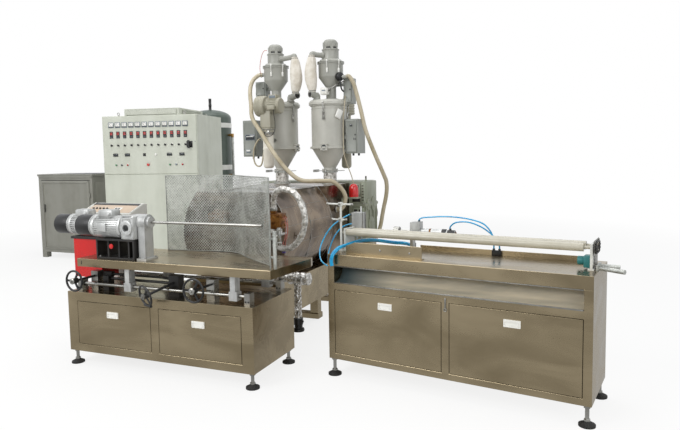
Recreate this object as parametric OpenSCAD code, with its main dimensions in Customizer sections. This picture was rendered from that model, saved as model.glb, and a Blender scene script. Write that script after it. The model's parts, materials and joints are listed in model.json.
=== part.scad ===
/* [Winder bench] */
// Length of the winder cabinet
winder_w = 1600; // [1500:10:1800]
// Depth of the winder cabinet
winder_d = 596; // [560:1:680]
// Height of the winder cabinet body
winder_h = 451; // [400:1:520]
// Height of the levelling feet under the winder
winder_foot = 105; // [90:1:140]
// Thickness of the lift-off cover panels of both benches
panel_t = 16; // [8:1:20]
// Running gap round each cover panel
panel_gap = 3; // [2:0.5:5]
// Width of a recessed pull handle
pull_w = 100; // [80:1:120]
// Height of a recessed pull handle
pull_h = 45; // [35:1:60]
// Diameter of a levelling foot's pad
foot_pad = 94; // [70:1:110]
// Diameter of a levelling foot's stem
foot_stem = 22; // [18:1:30]

/* [Winder table] */
// Gap between the cabinet top and the underside of the table
table_lift = 194; // [180:1:240]
// Height of the table's turned-down lip
lip_h = 60; // [40:1:80]
// Thickness of the table plate and lip
table_t = 10; // [4:1:14]
// Length of the table
table_w = 1630; // [1600:10:1700]
// Depth of the table
table_d = 550; // [540:1:570]
// Diameter of the two slide rods
rod_d = 25; // [20:1:30]
// Size of a slide bearing block
slide_block = 62; // [50:1:70]
// Running clearance of rods, shafts and spindles in their bores
fit_gap = 0.4; // [0.3:0.1:0.8]

/* [Handwheels] */
// Outer diameter of the left and middle handwheels
wheel_d = 160; // [140:1:180]
// Outer diameter of the right handwheel
wheel_right_d = 170; // [150:1:190]
// Diameter of a handwheel's round rim
rim_d = 15; // [10:1:18]
// Diameter of a handwheel shaft
wheel_shaft = 18; // [14:1:22]

/* [Spindle drive] */
// Diameter of the winding spindle
spindle_d = 20; // [16:1:30]
// Length of the spindle from its bearing flange to its tip
spindle_l = 930; // [700:10:930]
// Height of the spindle above the table
spindle_lift = 273; // [250:1:290]
// Outer diameter of a motor body over its fins
motor_d = 168; // [150:1:172]
// Outer diameter of a motor's fan cover
fan_d = 158; // [130:1:166]
// Side of the square gearbox face
gearbox_s = 172; // [160:1:180]
// Height of the perforated guard
guard_h = 595; // [500:5:700]
// Thickness of the guard sheet
guard_t = 3; // [2:0.5:5]

/* [Extruder] */
// Width of the extruder housing
housing_w = 1000; // [960:10:1100]
// Length of the extruder housing
housing_l = 1560; // [1500:10:1700]
// Height of the housing's flat top above the floor
housing_top = 1245; // [1225:1:1300]
// Height of the flat under the housing above the floor
housing_low = 500; // [480:1:560]
// Length of the faceted front drum of the housing
drum_l = 960; // [900:10:1020]
// Clearance under the extruder base
base_clear = 200; // [150:1:240]
// Distance between the two screws
screw_pitch = 560; // [540:1:570]
// Width of a die head
die_w = 140; // [120:1:170]
// Outer diameter of the insulated air hose
air_hose_d = 50; // [36:1:54]

/* [Dryers] */
// Radius of a hopper dryer barrel
barrel_r = 181; // [170:1:190]
// Height of the cylindrical barrel
barrel_h = 430; // [380:1:460]
// Height of the outlet cone
cone_h = 240; // [200:1:250]
// Radius of the feed throat
throat_r = 64; // [55:1:68]
// Height of the feed throat
throat_h = 130; // [110:1:160]
// Thickness of a slide gate blade
gate_t = 6; // [4:1:8]
// Outer diameter of a suction hose
suction_d = 44; // [36:1:50]

/* [Cutter bench] */
// Length of the cutter bench
cutter_w = 1725; // [1650:5:1800]
// Depth of the cutter bench
cutter_d = 519; // [500:1:600]
// Height of the cutter table above the floor
cutter_top = 860; // [840:1:900]
// Height of the levelling feet under the cutter bench
cutter_foot = 121; // [100:1:140]
// Height of the open trough under the table
trough_h = 120; // [90:1:130]
// Diameter of a carrying roller
roller_d = 50; // [40:1:54]
// Height of the roller axes above the table
roller_lift = 130; // [115:1:140]
// Distance between the roller axes
roller_pitch = 84; // [78:1:96]
// Pitch diameter of a roller sprocket
sprocket_d = 62; // [50:1:70]
// Travel of the pusher rod
push_travel = 80; // [40:1:80]

/* [Cabinets] */
// Width of the control cabinet
control_w = 1375; // [1300:1:1500]
// Depth of the control cabinet
control_d = 885; // [800:1:950]
// Height of the control cabinet
control_h = 2112; // [2050:1:2200]
// Height of the seam between the instrument panel and the lower cover
control_seam = 1318; // [1290:1:1360]
// Pitch of the twelve instrument columns
column_pitch = 97.6; // [92:0.1:100]
// Width of the side cabinet
side_w = 1090; // [900:1:1200]
// Depth of the side cabinet
side_d = 600; // [500:1:700]
// Height of the side cabinet
side_h = 1308; // [1200:1:1400]
// Diameter of the air tank
tank_d = 640; // [500:1:700]
// Height of the air tank with its domed head
tank_h = 2274; // [2100:1:2400]

/* [Hidden] */
$fn = 48;

// Colours as the photograph shows them
steel = "#857a62";
bright = "#c8bfa8";
grey = "#8d9190";
dark = "#262624";
pale = "#cdd0c5";
cream = "#ddd5bd";
blue = "#2aa3d8";

// Winder bench
winder_x = -868;
winder_y = -1053;
winder_top = winder_foot + winder_h;
winder_panel_z = [winder_foot + 58, winder_top - 68];
winder_side = 91;
winder_post = 69;
winder_panel_w = (winder_w - 2*winder_side - winder_post)/2;
winder_inset = 35;
cutter_inset = 28;
pull_depth = 9;
cover_seat = 0.2;

// Table and its slide
table_x = -760;
table_y = -1050;
table_low = winder_top + table_lift;
table_top = table_low + lip_h;
rod_y = [-985, -545];
rod_z = winder_top + 54;
rail_x = [-800, 690];
rail_block = 42;
slide_x = [-330, 560];
bearing_top = 144;

// Lead screws
screw_y = -915;
screw_z = [winder_top + 88, winder_top + 168];
screw_block_x = [-15, 70];
screw_left_x = [-620, -570];

// Handwheels
wheel_y = -1150;
wheel_left_at = [-694, wheel_y, winder_top + 107];
wheel_right_at = [343, wheel_y, winder_top + 108];
wheel_mid_at = [-55, wheel_y, winder_top + 44];
wheel_mid_dir = [75, 190, 50];
wheel_bearing_y = [-955, -895];
hub_d = 40;

// Spindle drive
spindle_y = -930;
spindle_z = table_top + spindle_lift;
bearing_x = [-250, -180];
gearbox_w = 118;
motor_z = table_top + 235;
front_motor = [-370, spindle_y, motor_z];
rear_motor = [-810, -720, table_top + 210];
motor_l = 290;
fan_l = 150;
base_top = motor_z - gearbox_s/2;
guard_path = [[-337, -530], [-160, -508], [20, -485], [204, -473], [330, -535], [430, -630],
    [526, -705], [640, -790], [740, -862], [812, -935], [850, -1014]];
guard_post = [874, -990];

// Extruder
housing_y = -100;
housing_back = housing_y + housing_l;
drum_r = housing_w/2;
drum_z = 887;
body_x = 440;
base_x = 445;
die_z = 1030;
die_y = -270;
die_x = [-60, 460];
die_depth = 120;
reducer_l = 420;
reducer_low = 640;
reducer_top = 1260;
dryer_y = 1340;
dryer_x = [-screw_pitch/2, screw_pitch/2];
throat_top = housing_top + throat_h;
gate_z = throat_top + cover_seat;
cone_low = gate_z + gate_t + cover_seat;
barrel_low = cone_low + cone_h;
barrel_top = barrel_low + barrel_h;
lid_r = barrel_r + 26;
lid_top = barrel_top + 46;
loader_x = [dryer_x[0] - 45, dryer_x[1] + 28];
blower_r = 98;
heater_r = 54;

// Cutter bench
cutter_x = 1083;
cutter_y = -614;
cutter_turn = -9.137;
cutter_lip = 78;
cutter_low = cutter_top - cutter_lip;
cutter_post = 50;
trough_z = cutter_low - trough_h;
cutter_panel_z = [cutter_foot + 42, trough_z - 48];
cutter_panel_w = (cutter_w - 3*cutter_post)/2;
roller_z = cutter_top + roller_lift;
roller_y = 190;
roller_x = [50, cutter_w - 86];

// Cabinets
control_at = [-3410, 2054, 0];
control_turn = 12.4;
control_skin = 12;
control_edge = 10;
instrument_x = 138;
meter_z = control_h - 122;
controller_z = control_h - 256;
knob_z = control_h - 397;
display_z = control_h - 529;
button_z = control_h - 665;
isolator_x = control_w - 110;
side_at = [-5200, 2530, 0];
tank_at = [-2766, 3696, 0];

// Box between two places on each axis
module span(x, y, z) {
    translate([x[0], y[0], z[0]]) cube([x[1] - x[0], y[1] - y[0], z[1] - z[0]]);
}

// Round bars along each axis
module along_x(d, x, y, z) {
    translate([x[0], y, z]) rotate([0, 90, 0]) cylinder(d = d, h = x[1] - x[0]);
}
module along_y(d, x, y, z) {
    translate([x, y[0], z]) rotate([-90, 0, 0]) cylinder(d = d, h = y[1] - y[0]);
}
module along_z(d, x, y, z) {
    translate([x, y, z[0]]) cylinder(d = d, h = z[1] - z[0]);
}

// Points of a smooth curve through chosen points
function curve_point(a, b, c, d, t) = 0.5*((2*b) + (c - a)*t + (2*a - 5*b + 4*c - d)*t*t
    + (3*b - a - 3*c + d)*t*t*t);
function curve(p, n) = [for (i = [0:len(p) - 2], k = [0:n - 1])
    curve_point(p[max(i - 1, 0)], p[i], p[i + 1], p[min(i + 2, len(p) - 1)], k/n), p[len(p) - 1]];
function unit(v) = v/norm(v);
function ring(at, t, r, sides, ref) = let (u = unit(cross(t, ref)), v = cross(t, u))
    [for (k = [0:sides - 1]) at + r*(cos(360*k/sides)*u + sin(360*k/sides)*v)];

// Round hose swept along a smooth curve
module hose(route, d, steps = 3, sides = 10, ref = [0, 1, 0]) {
    p = curve(route, steps);
    last = len(p) - 1;
    n = len(route) - 1;
    way = [for (i = [0:last]) unit(i == 0 ? route[1] - route[0]
        : i == last ? route[n] - route[n - 1] : p[i + 1] - p[i - 1])];
    points = [for (i = [0:last]) each ring(p[i], way[i], d/2, sides, ref)];
    walls = [for (i = [0:last - 1], k = [0:sides - 1]) let (n = (k + 1) % sides)
        [(i + 1)*sides + k, (i + 1)*sides + n, i*sides + n, i*sides + k]];
    polyhedron(points, concat(walls, [[for (k = [0:sides - 1]) k]],
        [[for (k = [sides - 1:-1:0]) last*sides + k]]));
}

// Levelling foot: rubber pad, dome and threaded stem
module foot(x, y, h) {
    translate([x, y, 0]) rotate_extrude()
        polygon([[0, 0], [foot_pad/2, 0], [foot_pad/2, 12], [foot_pad/3, 20],
            [foot_stem/2 + 5, 30], [foot_stem/2, 32], [foot_stem/2, h], [0, h]]);
}

// Box with cover panels let into its front
module recessed(w, d, z, panels, panel_z) {
    difference() {
        span([0, w], [0, d], z);
        for (x = panels) span(x, [-1, panel_t + cover_seat], panel_z);
    }
}
winder_panel_x = [[winder_side, winder_side + winder_panel_w],
    [winder_w - winder_side - winder_panel_w, winder_w - winder_side]];
cutter_panel_x = [[cutter_post, cutter_post + cutter_panel_w],
    [cutter_w - cutter_post - cutter_panel_w, cutter_w - cutter_post]];
module at_winder() { translate([winder_x, winder_y, 0]) children(); }
module at_cutter() { translate([cutter_x, cutter_y, 0]) rotate(cutter_turn) children(); }

module winder_cabinet() {
    color(steel) at_winder()
        recessed(winder_w, winder_d, [winder_foot, winder_top], winder_panel_x, winder_panel_z);
}

module cover_panel(x, z) {
    span([x[0] + panel_gap, x[1] - panel_gap], [0, panel_t + cover_seat],
        [z[0] + panel_gap, z[1] - panel_gap]);
}
module bench_panels() {
    color(steel) {
        at_winder() for (x = winder_panel_x) cover_panel(x, winder_panel_z);
        at_cutter() for (x = cutter_panel_x) cover_panel(x, cutter_panel_z);
    }
}

// Recessed pull: a shallow cup with a raised rim
module pull(x, z) {
    difference() {
        span([x - pull_w/2, x + pull_w/2], [-pull_depth, 0], [z - pull_h/2, z + pull_h/2]);
        span([x - pull_w/2 + 6, x + pull_w/2 - 6], [-pull_depth - 1, -2],
            [z - pull_h/2 + 6, z + pull_h/2 - 12]);
    }
}
module pull_handles() {
    color("white") {
        at_winder() for (x = winder_panel_x) pull((x[0] + x[1])/2, winder_panel_z[1] - 82);
        at_cutter() for (x = cutter_panel_x) pull((x[0] + x[1])/2, cutter_panel_z[1] - 76);
    }
}

module feet_of(w, d, h, inset) {
    for (x = [inset, w - inset], y = [inset, d - inset]) foot(x, y, h);
}
module bench_feet() {
    color(dark) {
        at_winder() feet_of(winder_w, winder_d, winder_foot, winder_inset);
        at_cutter() feet_of(cutter_w, cutter_d, cutter_foot, cutter_inset);
    }
}

// Fixed slide rods in end blocks, with the bearings of the outer handwheels
module wheel_bearing(at) {
    difference() {
        span([at[0] - 32, at[0] + 32], wheel_bearing_y, [winder_top, winder_top + bearing_top]);
        along_y(wheel_shaft + 2*fit_gap, at[0], [wheel_bearing_y[0] - 1, wheel_bearing_y[1] + 1], at[2]);
    }
}
module winder_rails() {
    color(bright) {
        for (y = rod_y) {
            along_x(rod_d, rail_x, y, rod_z);
            for (x = [rail_x[0], rail_x[1] - rail_block])
                span([x, x + rail_block], [y - 30, y + 30], [winder_top, rod_z + 28]);
        }
        wheel_bearing(wheel_left_at);
        wheel_bearing(wheel_right_at);
    }
}

// Bearing blocks that run on the rods, with risers up to the table
module table_slide() {
    color(grey) for (x = slide_x, y = rod_y) difference() {
        union() {
            span([x - slide_block/2, x + slide_block/2], [y - slide_block/2, y + slide_block/2],
                [rod_z - slide_block/2, rod_z + slide_block/2]);
            span([x - 20, x + 20], [y - slide_block/2, y + slide_block/2],
                [rod_z, table_top - table_t]);
        }
        along_x(rod_d + 2*fit_gap, [x - slide_block, x + slide_block], y, rod_z);
    }
}

module screw_bars() {
    color(dark) difference() {
        union() {
            span(screw_block_x, [screw_y - 32, screw_y + 32], [winder_top, winder_top + 150]);
            span(screw_left_x, [screw_y - 30, screw_y + 30], [winder_top, winder_top + 110]);
            along_x(20, [screw_left_x[0], screw_block_x[1]], screw_y, screw_z[0]);
            along_x(18, [screw_left_x[0], screw_block_x[0] + 1], screw_y + 22, winder_top + 118);
            span([screw_left_x[0] - 30, screw_left_x[1]], [screw_y + 4, screw_y + 40],
                [winder_top + 100, winder_top + 136]);
        }
        wheel_axis(wheel_mid_at, wheel_mid_dir) cylinder(d = wheel_shaft + 2*fit_gap, h = 320);
    }
}

// Turns +Z onto a handwheel's shaft direction
module wheel_axis(at, dir) {
    translate(at) rotate([0, acos(dir[2]/norm(dir)), atan2(dir[1], dir[0])]) children();
}
module handwheel(d, shaft) {
    rotate_extrude() translate([d/2 - rim_d/2, 0]) circle(d = rim_d);
    translate([0, 0, -14]) cylinder(d = hub_d, h = 40);
    for (a = [90, 210, 330]) rotate(a)
        translate([d/4 - 2, 0, 2]) cube([d/2 - rim_d, 14, 8], center = true);
    cylinder(d = wheel_shaft, h = shaft);
}
module handwheel_left() {
    color(dark) wheel_axis(wheel_left_at, [0, 1, 0])
        handwheel(wheel_d, wheel_bearing_y[1] - wheel_y + 6);
}
module handwheel_middle() {
    color(dark) wheel_axis(wheel_mid_at, wheel_mid_dir) {
        handwheel(wheel_d, 240);
        translate([wheel_d/2 - rim_d/2, 0, 0]) rotate([90, 0, 0]) cylinder(d = 20, h = 84, center = true);
    }
}
module handwheel_right() {
    color(dark) wheel_axis(wheel_right_at, [0, 1, 0])
        handwheel(wheel_right_d, wheel_bearing_y[1] - wheel_y + 6);
}

// Flat table with a lip turned down all round
table_outline = [[table_x, table_y], [table_x + table_w, table_y],
    [table_x + table_w + 60, table_y + table_d - 60], [table_x + table_w + 44, table_y + table_d],
    [table_x, table_y + table_d]];
module winder_table() {
    color(bright) difference() {
        translate([0, 0, table_low]) linear_extrude(lip_h) polygon(table_outline);
        translate([0, 0, table_low - 1]) linear_extrude(lip_h - table_t + 1)
            offset(delta = -table_t) polygon(table_outline);
    }
}

// Red support channel at the table's left end
bracket_x = [-1040, table_x];
bracket_y = [-805, -625];
bracket_z = [table_low - 140, table_top + 105];
module drive_bracket() {
    color("#c0100c") difference() {
        span(bracket_x, bracket_y, bracket_z);
        span([bracket_x[0] + 12, bracket_x[1] - 12], [bracket_y[0] + 10, bracket_y[1] + 1],
            [bracket_z[0] - 1, bracket_z[1] - 12]);
    }
}

// Black fabricated stand under the gear motors
stand_x = [-610, -258];
stand_y = [-1010, -830];
stand_t = 14;
stand_rib = [-530, -430, -340];
module motor_base() {
    color(dark) {
        difference() {
            span(stand_x, stand_y, [table_top, base_top]);
            span([stand_x[0] + stand_t, stand_x[1] - stand_t], [stand_y[0] - 1, stand_y[1] + 1],
                [table_top + stand_t, base_top - stand_t]);
        }
        for (x = stand_rib) span([x, x + stand_t], [stand_y[0] + 30, stand_y[1] - 30],
            [table_top + 1, base_top - 1]);
        span([bracket_x[0] - 20, rear_motor[0] + gearbox_w + 10], [bracket_y[0] - 10, bracket_y[1] + 5],
            [bracket_z[1], rear_motor[2] - gearbox_s/2]);
    }
}

// Motor body with its adaptor flange, cooling rings and terminal box
adaptor_l = 44;
ring_pitch = 24;
module finned_motor(at) {
    along_x(motor_d - 26, [at[0] - motor_l, at[0]], at[1], at[2]);
    along_x(motor_d, [at[0] - adaptor_l, at[0] - 12], at[1], at[2]);
    for (x = [at[0] - motor_l + 10:ring_pitch:at[0] - adaptor_l - 20])
        along_x(motor_d - 6, [x, x + ring_pitch/2], at[1], at[2]);
    span([at[0] - motor_l + 40, at[0] - 100], [at[1] - 46, at[1] + 46], [at[2] + 40, at[2] + motor_d/2 + 34]);
}
module gear_motors() {
    color("#b9bcbd") {
        finned_motor(front_motor);
        finned_motor(rear_motor);
    }
}
module fan_cover(at) {
    along_x(fan_d, [at[0] - motor_l - fan_l, at[0] - motor_l], at[1], at[2]);
    along_x(fan_d - 30, [at[0] - motor_l - fan_l - 12, at[0] - motor_l], at[1], at[2]);
}
module fan_covers() {
    color(dark) {
        fan_cover(front_motor);
        fan_cover(rear_motor);
    }
}

// Worm gearboxes, the front one with its open hub
module gearbox(at) {
    span([at[0], at[0] + gearbox_w], [at[1] - gearbox_s/2, at[1] + gearbox_s/2],
        [at[2] - gearbox_s/2, at[2] + gearbox_s/2]);
    along_y(108, at[0] + gearbox_w/2, [at[1] - gearbox_s/2 - 14, at[1] + gearbox_s/2 + 14], at[2]);
}
hub_bore = 50;
module gearboxes() {
    color("#b9bcbd") {
        difference() {
            gearbox(front_motor);
            along_y(hub_bore, front_motor[0] + gearbox_w/2,
                [spindle_y - gearbox_s, spindle_y - gearbox_s/2 + 20], motor_z);
        }
        gearbox(rear_motor);
    }
}

module spindle_bearing() {
    color(grey) difference() {
        union() {
            along_x(112, bearing_x, spindle_y, spindle_z);
            along_x(80, [bearing_x[0] - 1, bearing_x[1] + 22], spindle_y, spindle_z);
            span([bearing_x[0] + 6, bearing_x[1] - 6], [spindle_y - 46, spindle_y + 46],
                [table_top, spindle_z]);
            span([bearing_x[0], bearing_x[1] + 14], [spindle_y - 66, spindle_y + 66],
                [table_top, table_top + 14]);
        }
        along_x(spindle_d + 2*fit_gap, [bearing_x[0] + 10, bearing_x[1] + 30], spindle_y, spindle_z);
    }
}

module spindle() {
    color(bright) along_x(spindle_d, [bearing_x[0] + 10 + fit_gap, bearing_x[1] + spindle_l], spindle_y,
        spindle_z);
}

// Sloping desk on its own pedestal behind the winder
console_x = [-1150, -640];
console_y = [-600, -400];
console_z = [1060, 1165];
console_post = [-990, -900];
module operator_console() {
    color("#dedfdd") {
        translate([console_x[0], 0, 0]) rotate([90, 0, 90]) linear_extrude(console_x[1] - console_x[0])
            polygon([[console_y[0], console_z[0]], [console_y[1], console_z[0] - 50],
                [console_y[1], console_z[1]], [console_y[1] - 40, console_z[1]],
                [console_y[0], console_z[0] + 40]]);
        span(console_post, [console_y[1] - 85, console_y[1] - 5], [8, console_z[0] - 30]);
        span([console_post[0] - 110, console_post[1] + 110], [-420, -140], [0, 10]);
    }
}

// Curved sheet guard standing on the table, with its round post
module mesh_guard() {
    n = len(guard_path) - 1;
    side = [for (i = [0:n]) let (d = unit(guard_path[min(i + 1, n)] - guard_path[max(i - 1, 0)]))
        guard_path[i] + guard_t*[-d[1], d[0]]];
    color("#9a9c98") {
        translate([0, 0, table_top]) linear_extrude(guard_h)
            polygon(concat(guard_path, [for (i = [n:-1:0]) side[i]]));
        along_z(26, guard_post[0], guard_post[1], [table_top, table_top + 250]);
        for (z = [70, 190]) span([guard_post[0] - 34, guard_post[0]], [guard_post[1] - 8, guard_post[1] + 8],
            [table_top + z, table_top + z + 16]);
    }
}

// Cross foot with two legs up to the base
module cross_foot(y) {
    span([-base_x + 20, base_x - 20], [y - 40, y + 60], [0, 50]);
    for (x = [-base_x + 30, base_x - 110]) span([x, x + 80], [y - 30, y + 50], [49, base_clear + 1]);
}
module extruder_base() {
    color(steel) {
        span([-base_x, base_x], [housing_y + 20, housing_back + 860], [base_clear, housing_low]);
        span([-base_x, base_x], [housing_back, housing_back + 860], [housing_low - 1, reducer_low]);
        for (y = [-20, 700, housing_back - 100, housing_back + 700]) cross_foot(y);
    }
}

// Faceted drum round both heated barrels, with a flat top and bottom, and the body behind it
drum_sides = 20;
module barrel_housing() {
    color(steel) {
        translate([0, housing_y + drum_l, 0]) rotate([90, 0, 0]) linear_extrude(drum_l)
            intersection() {
                translate([0, drum_z]) rotate(180/drum_sides) circle(r = drum_r, $fn = drum_sides);
                translate([-drum_r, housing_low]) square([2*drum_r, housing_top - housing_low]);
            }
        span([-body_x, body_x], [housing_y + drum_l - 1, housing_back], [housing_low, housing_top]);
    }
}

module die_heads() {
    color("#6b4a2c") for (x = die_x) {
        span([x - die_w/2, x + die_w/2], [die_y, die_y + die_depth], [die_z - 60, die_z + 60]);
        along_y(84, x, [die_y + die_depth - 1, housing_y], die_z);
        along_y(30, x, [die_y - 12, die_y + 1], die_z);
        span([x - 20, x + 20], [die_y + 20, die_y + 60], [die_z + 59, die_z + 84]);
    }
}

// Insulated hose that loops from the die head back to the housing
air_route = [[460, -230, 1114.5], [460, -230, 1160], [486, -264, 1232], [540, -300, 1276], [604, -320, 1290],
    [706, -340, 1256], [763, -345, 1165], [786, -345, 1065], [767, -340, 972], [723, -325, 900],
    [653, -300, 843], [582, -268, 822], [500, -220, 820], [440, -180, 824], [420, -140, 826],
    [420, -100.5, 826]];
tee_at = [540, -300, 920];
module hot_air_hose() {
    color("#cfcabb") {
        hose(air_route, air_hose_d, 3, 12, [0.3, 1, 0.2]);
        along_z(34, tee_at[0], tee_at[1], [tee_at[2] - 70, tee_at[2] + 70]);
        along_x(30, [tee_at[0] - 60, tee_at[0] + 8], tee_at[1], tee_at[2]);
        along_y(24, tee_at[0] - 42, [tee_at[1] - 6, housing_y], tee_at[2]);
    }
}

// Lagged air pipe that hangs below the table corner
pipe_at = [690, -300];
pipe_x = 330;
pipe_z = 600;
module foil_pipe() {
    color("#b4b0a4") {
        along_y(80, pipe_x, [pipe_at[1] - 38, housing_y], pipe_z);
        along_x(70, [pipe_x - 30, pipe_at[0]], pipe_at[1], pipe_z);
        along_x(94, [pipe_at[0] - 70, pipe_at[0] + 110], pipe_at[1], pipe_z);
        along_z(56, pipe_at[0], pipe_at[1], [200, pipe_z - 30]);
        along_z(92, pipe_at[0], pipe_at[1], [186, 204]);
        along_z(74, pipe_at[0], pipe_at[1], [240, 290]);
    }
}

// Hopper dryer: outlet cone, barrel, clamp ring and lid
module dryer(x) {
    translate([x, dryer_y, 0]) rotate_extrude($fn = 72)
        polygon([[0, cone_low], [throat_r + 16, cone_low], [throat_r + 16, cone_low + 10],
            [throat_r, cone_low + 10], [throat_r, cone_low + 30], [barrel_r, barrel_low - 14],
            [barrel_r + 18, barrel_low - 14], [barrel_r + 18, barrel_low + 6], [barrel_r, barrel_low + 6],
            [barrel_r, barrel_top], [lid_r, barrel_top], [lid_r, lid_top - 22],
            [lid_r - 16, lid_top], [0, lid_top]]);
}
module dryer_left() { color(grey) dryer(dryer_x[0]); }
module dryer_right() { color(grey) dryer(dryer_x[1]); }

// Vacuum loader on the lid: neck, cone, drum and cap
module loader_body(x) {
    translate([x, dryer_y, lid_top]) rotate_extrude($fn = 72)
        polygon([[0, 0], [78, 0], [78, 14], [52, 20], [52, 130], [126, 232], [126, 368],
            [138, 368], [138, 388], [120, 388], [84, 510], [84, 520], [76, 526], [76, 590],
            [66, 610], [0, 614]]);
}
hose_y = dryer_y - 60;
hose_lift = 300;
module loader_left() {
    color(grey) {
        loader_body(loader_x[0]);
        along_x(suction_d, [loader_x[0] - 125, loader_x[0] - 40], hose_y, lid_top + hose_lift);
    }
}
module loader_right() {
    color(grey) {
        loader_body(loader_x[1]);
        along_x(suction_d, [loader_x[1] + 40, loader_x[1] + 200], hose_y, lid_top + hose_lift - 76);
    }
}

// Space taken up by both barrels with their rings and lids
module dryer_space() {
    for (x = dryer_x) {
        along_z(2*barrel_r, x, dryer_y, [cone_low, barrel_top]);
        along_z(2*barrel_r + 36, x, dryer_y, [barrel_low - 14, barrel_low + 6]);
        along_z(2*lid_r, x, dryer_y, [barrel_top, lid_top]);
    }
}

// Left blower: heater tube and duct, snail housing on a cross axis and its motor
blower_left = [-263, 1024];
snail_z = 2045;
module left_blower() {
    x = blower_left[0];
    y = blower_left[1];
    along_z(2*heater_r, x, y, [cone_low + 30, barrel_top - 230]);
    along_z(2*heater_r + 20, x, y, [barrel_low - 30, barrel_low - 14]);
    span([x - 66, x + 64], [y - 60, y + 60], [barrel_top - 231, snail_z - 40]);
    along_x(220, [x - 130, x + 26], y, snail_z);
    along_x(168, [x + 25, x + 160], y, snail_z);
    span([x - 20, x + 20], [y, dryer_y - 120], [barrel_low + 60, barrel_low + 100]);
}
// Right blower: upright heater tube and drum behind the barrel
blower_right = [dryer_x[1] + 60, dryer_y + 320];
module right_blower() {
    x = blower_right[0];
    y = blower_right[1];
    along_z(2*heater_r, x, y, [cone_low + 10, barrel_top - 90]);
    along_z(2*blower_r, x, y, [barrel_top - 90, barrel_top + 60]);
    along_z(70, x, y, [barrel_top + 59, barrel_top + 90]);
    span([x - 20, x + 20], [dryer_y + 120, y], [barrel_low + 60, barrel_low + 100]);
}
module dryer_blowers() {
    color("#c3c0b2") difference() {
        union() {
            left_blower();
            right_blower();
        }
        dryer_space();
    }
}

// Cloth bags on the exhaust, and the grey elbows that carry them
bag_r = 66;
bags = [[-44, 1226], [168, 1186]];
bag_z = [2200, 2520];
elbow_foot = [[-118, 1262], [196, 1230]];
elbow_z = 2152;
module filter_bags() {
    color(cream) for (b = bags)
        translate([b[0], b[1], 0]) rotate_extrude()
            polygon([[0, bag_z[0]], [bag_r - 26, bag_z[0]], [bag_r - 10, bag_z[0] + 60],
                [bag_r, bag_z[0] + 150], [bag_r - 8, bag_z[1] - 60], [bag_r - 30, bag_z[1]],
                [0, bag_z[1]]]);
}
// Level pipe between two places, given as [x, y]
module level_pipe(a, b, d, z) {
    way = b - a;
    translate([a[0], a[1], z]) rotate([0, 90, atan2(way[1], way[0])]) cylinder(d = d, h = norm(way));
}
module exhaust_elbows() {
    color(grey) difference() {
        for (i = [0, 1]) {
            b = bags[i];
            f = elbow_foot[i];
            along_z(72, f[0], f[1], [lid_top, elbow_z + 40]);
            along_z(84, f[0], f[1], [lid_top, lid_top + 10]);
            level_pipe(f, b + 20*unit(b - f), 66, elbow_z);
            along_z(60, b[0], b[1], [elbow_z - 42, bag_z[0]]);
            along_z(68, b[0], b[1], [bag_z[1], bag_z[1] + 60]);
            level_pipe([loader_x[i], dryer_y], b, 50, bag_z[1] + 30);
        }
        for (x = loader_x) loader_body(x);
    }
}

module control_box(x, y, w, d, z) {
    span([x, x + w], [y, y + d], z);
    span([x + w*0.2, x + w*0.8], [y - 6, y + 1], [z[0] + 40, z[1] - 40]);
}
arm_z = [1700, 1740];
module dryer_controls() {
    color(grey) difference() {
        union() {
            control_box(-713, 1280, 165, 215, [1535, 1925]);
            control_box(483, 1280, 132, 215, [1552, 1899]);
            control_box(-569, 1330, 118, 110, [2176, 2333]);
            control_box(448, 1330, 95, 110, [2058, 2314]);
            span([-560, dryer_x[0]], [dryer_y - 30, dryer_y + 30], arm_z);
            span([dryer_x[1], 490], [dryer_y - 30, dryer_y + 30], arm_z);
            span([-560, loader_x[0]], [1370, 1400], [2240, 2270]);
            span([loader_x[1], 455], [1370, 1400], [2240, 2270]);
        }
        dryer_space();
        for (x = loader_x) loader_body(x);
    }
}

module feed_throats() {
    color("#a9a79d") for (x = dryer_x) {
        translate([x, dryer_y, 0]) rotate_extrude()
            polygon([[0, housing_top], [throat_r + 24, housing_top], [throat_r + 24, housing_top + 14],
                [throat_r, housing_top + 14], [throat_r, throat_top - 14],
                [throat_r + 16, throat_top - 14], [throat_r + 16, throat_top], [0, throat_top]]);
    }
}

module gate(x) {
    span([x - 150, x + 140], [dryer_y - 60, dryer_y + 60], [gate_z, gate_z + gate_t]);
    span([x - 166, x - 149], [dryer_y - 60, dryer_y + 60], [gate_z - 10, gate_z + gate_t + 10]);
}
module gate_left() { color(bright) gate(dryer_x[0]); }
module gate_right() { color(bright) gate(dryer_x[1]); }

// Suction hoses from the loaders down to their parked ends
suction_left = [[loader_x[0] - 125.5, hose_y, lid_top + hose_lift], [-500, hose_y, lid_top + hose_lift],
    [-548, 1235, 2340], [-540, 1160, 2230], [-480, 1070, 2060], [-420, 985, 1930], [-302, 930, 1790],
    [-125, 880, 1567], [24, 870, 1400], [166, 885, 1300], [353, 960, 1290], [442, 1010, 1282],
    [512, 1060, 1215], [545, 1090, 1130], [525, 1100, 1045], [490, 1100, 1004], [446, 1100, 1000]];
suction_right = [[loader_x[1] + 200.5, hose_y, lid_top + hose_lift - 76],
    [532, hose_y, lid_top + hose_lift - 76], [566, 1300, 2262], [588, 1322, 2170], [626, 1340, 2000],
    [674, 1350, 1786], [749, 1380, 1567], [830, 1450, 1328], [840, 1500, 1250], [823, 1550, 1130],
    [770, 1600, 953], [721, 1640, 770], [670, 1650, 650], [600, 1650, 596], [530, 1650, 590],
    [460, 1650, 590]];
module suction_hoses() {
    color("#b8b3a4") {
        hose(suction_left, suction_d, 3, 10, [0.1, 1, 0.3]);
        hose(suction_right, suction_d, 3, 10, [0.1, 1, 0.1]);
        along_x(suction_d + 12, [body_x, body_x + 16], 1100, 1000);
        along_x(suction_d + 12, [base_x, base_x + 16], 1650, 590);
    }
}

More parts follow.
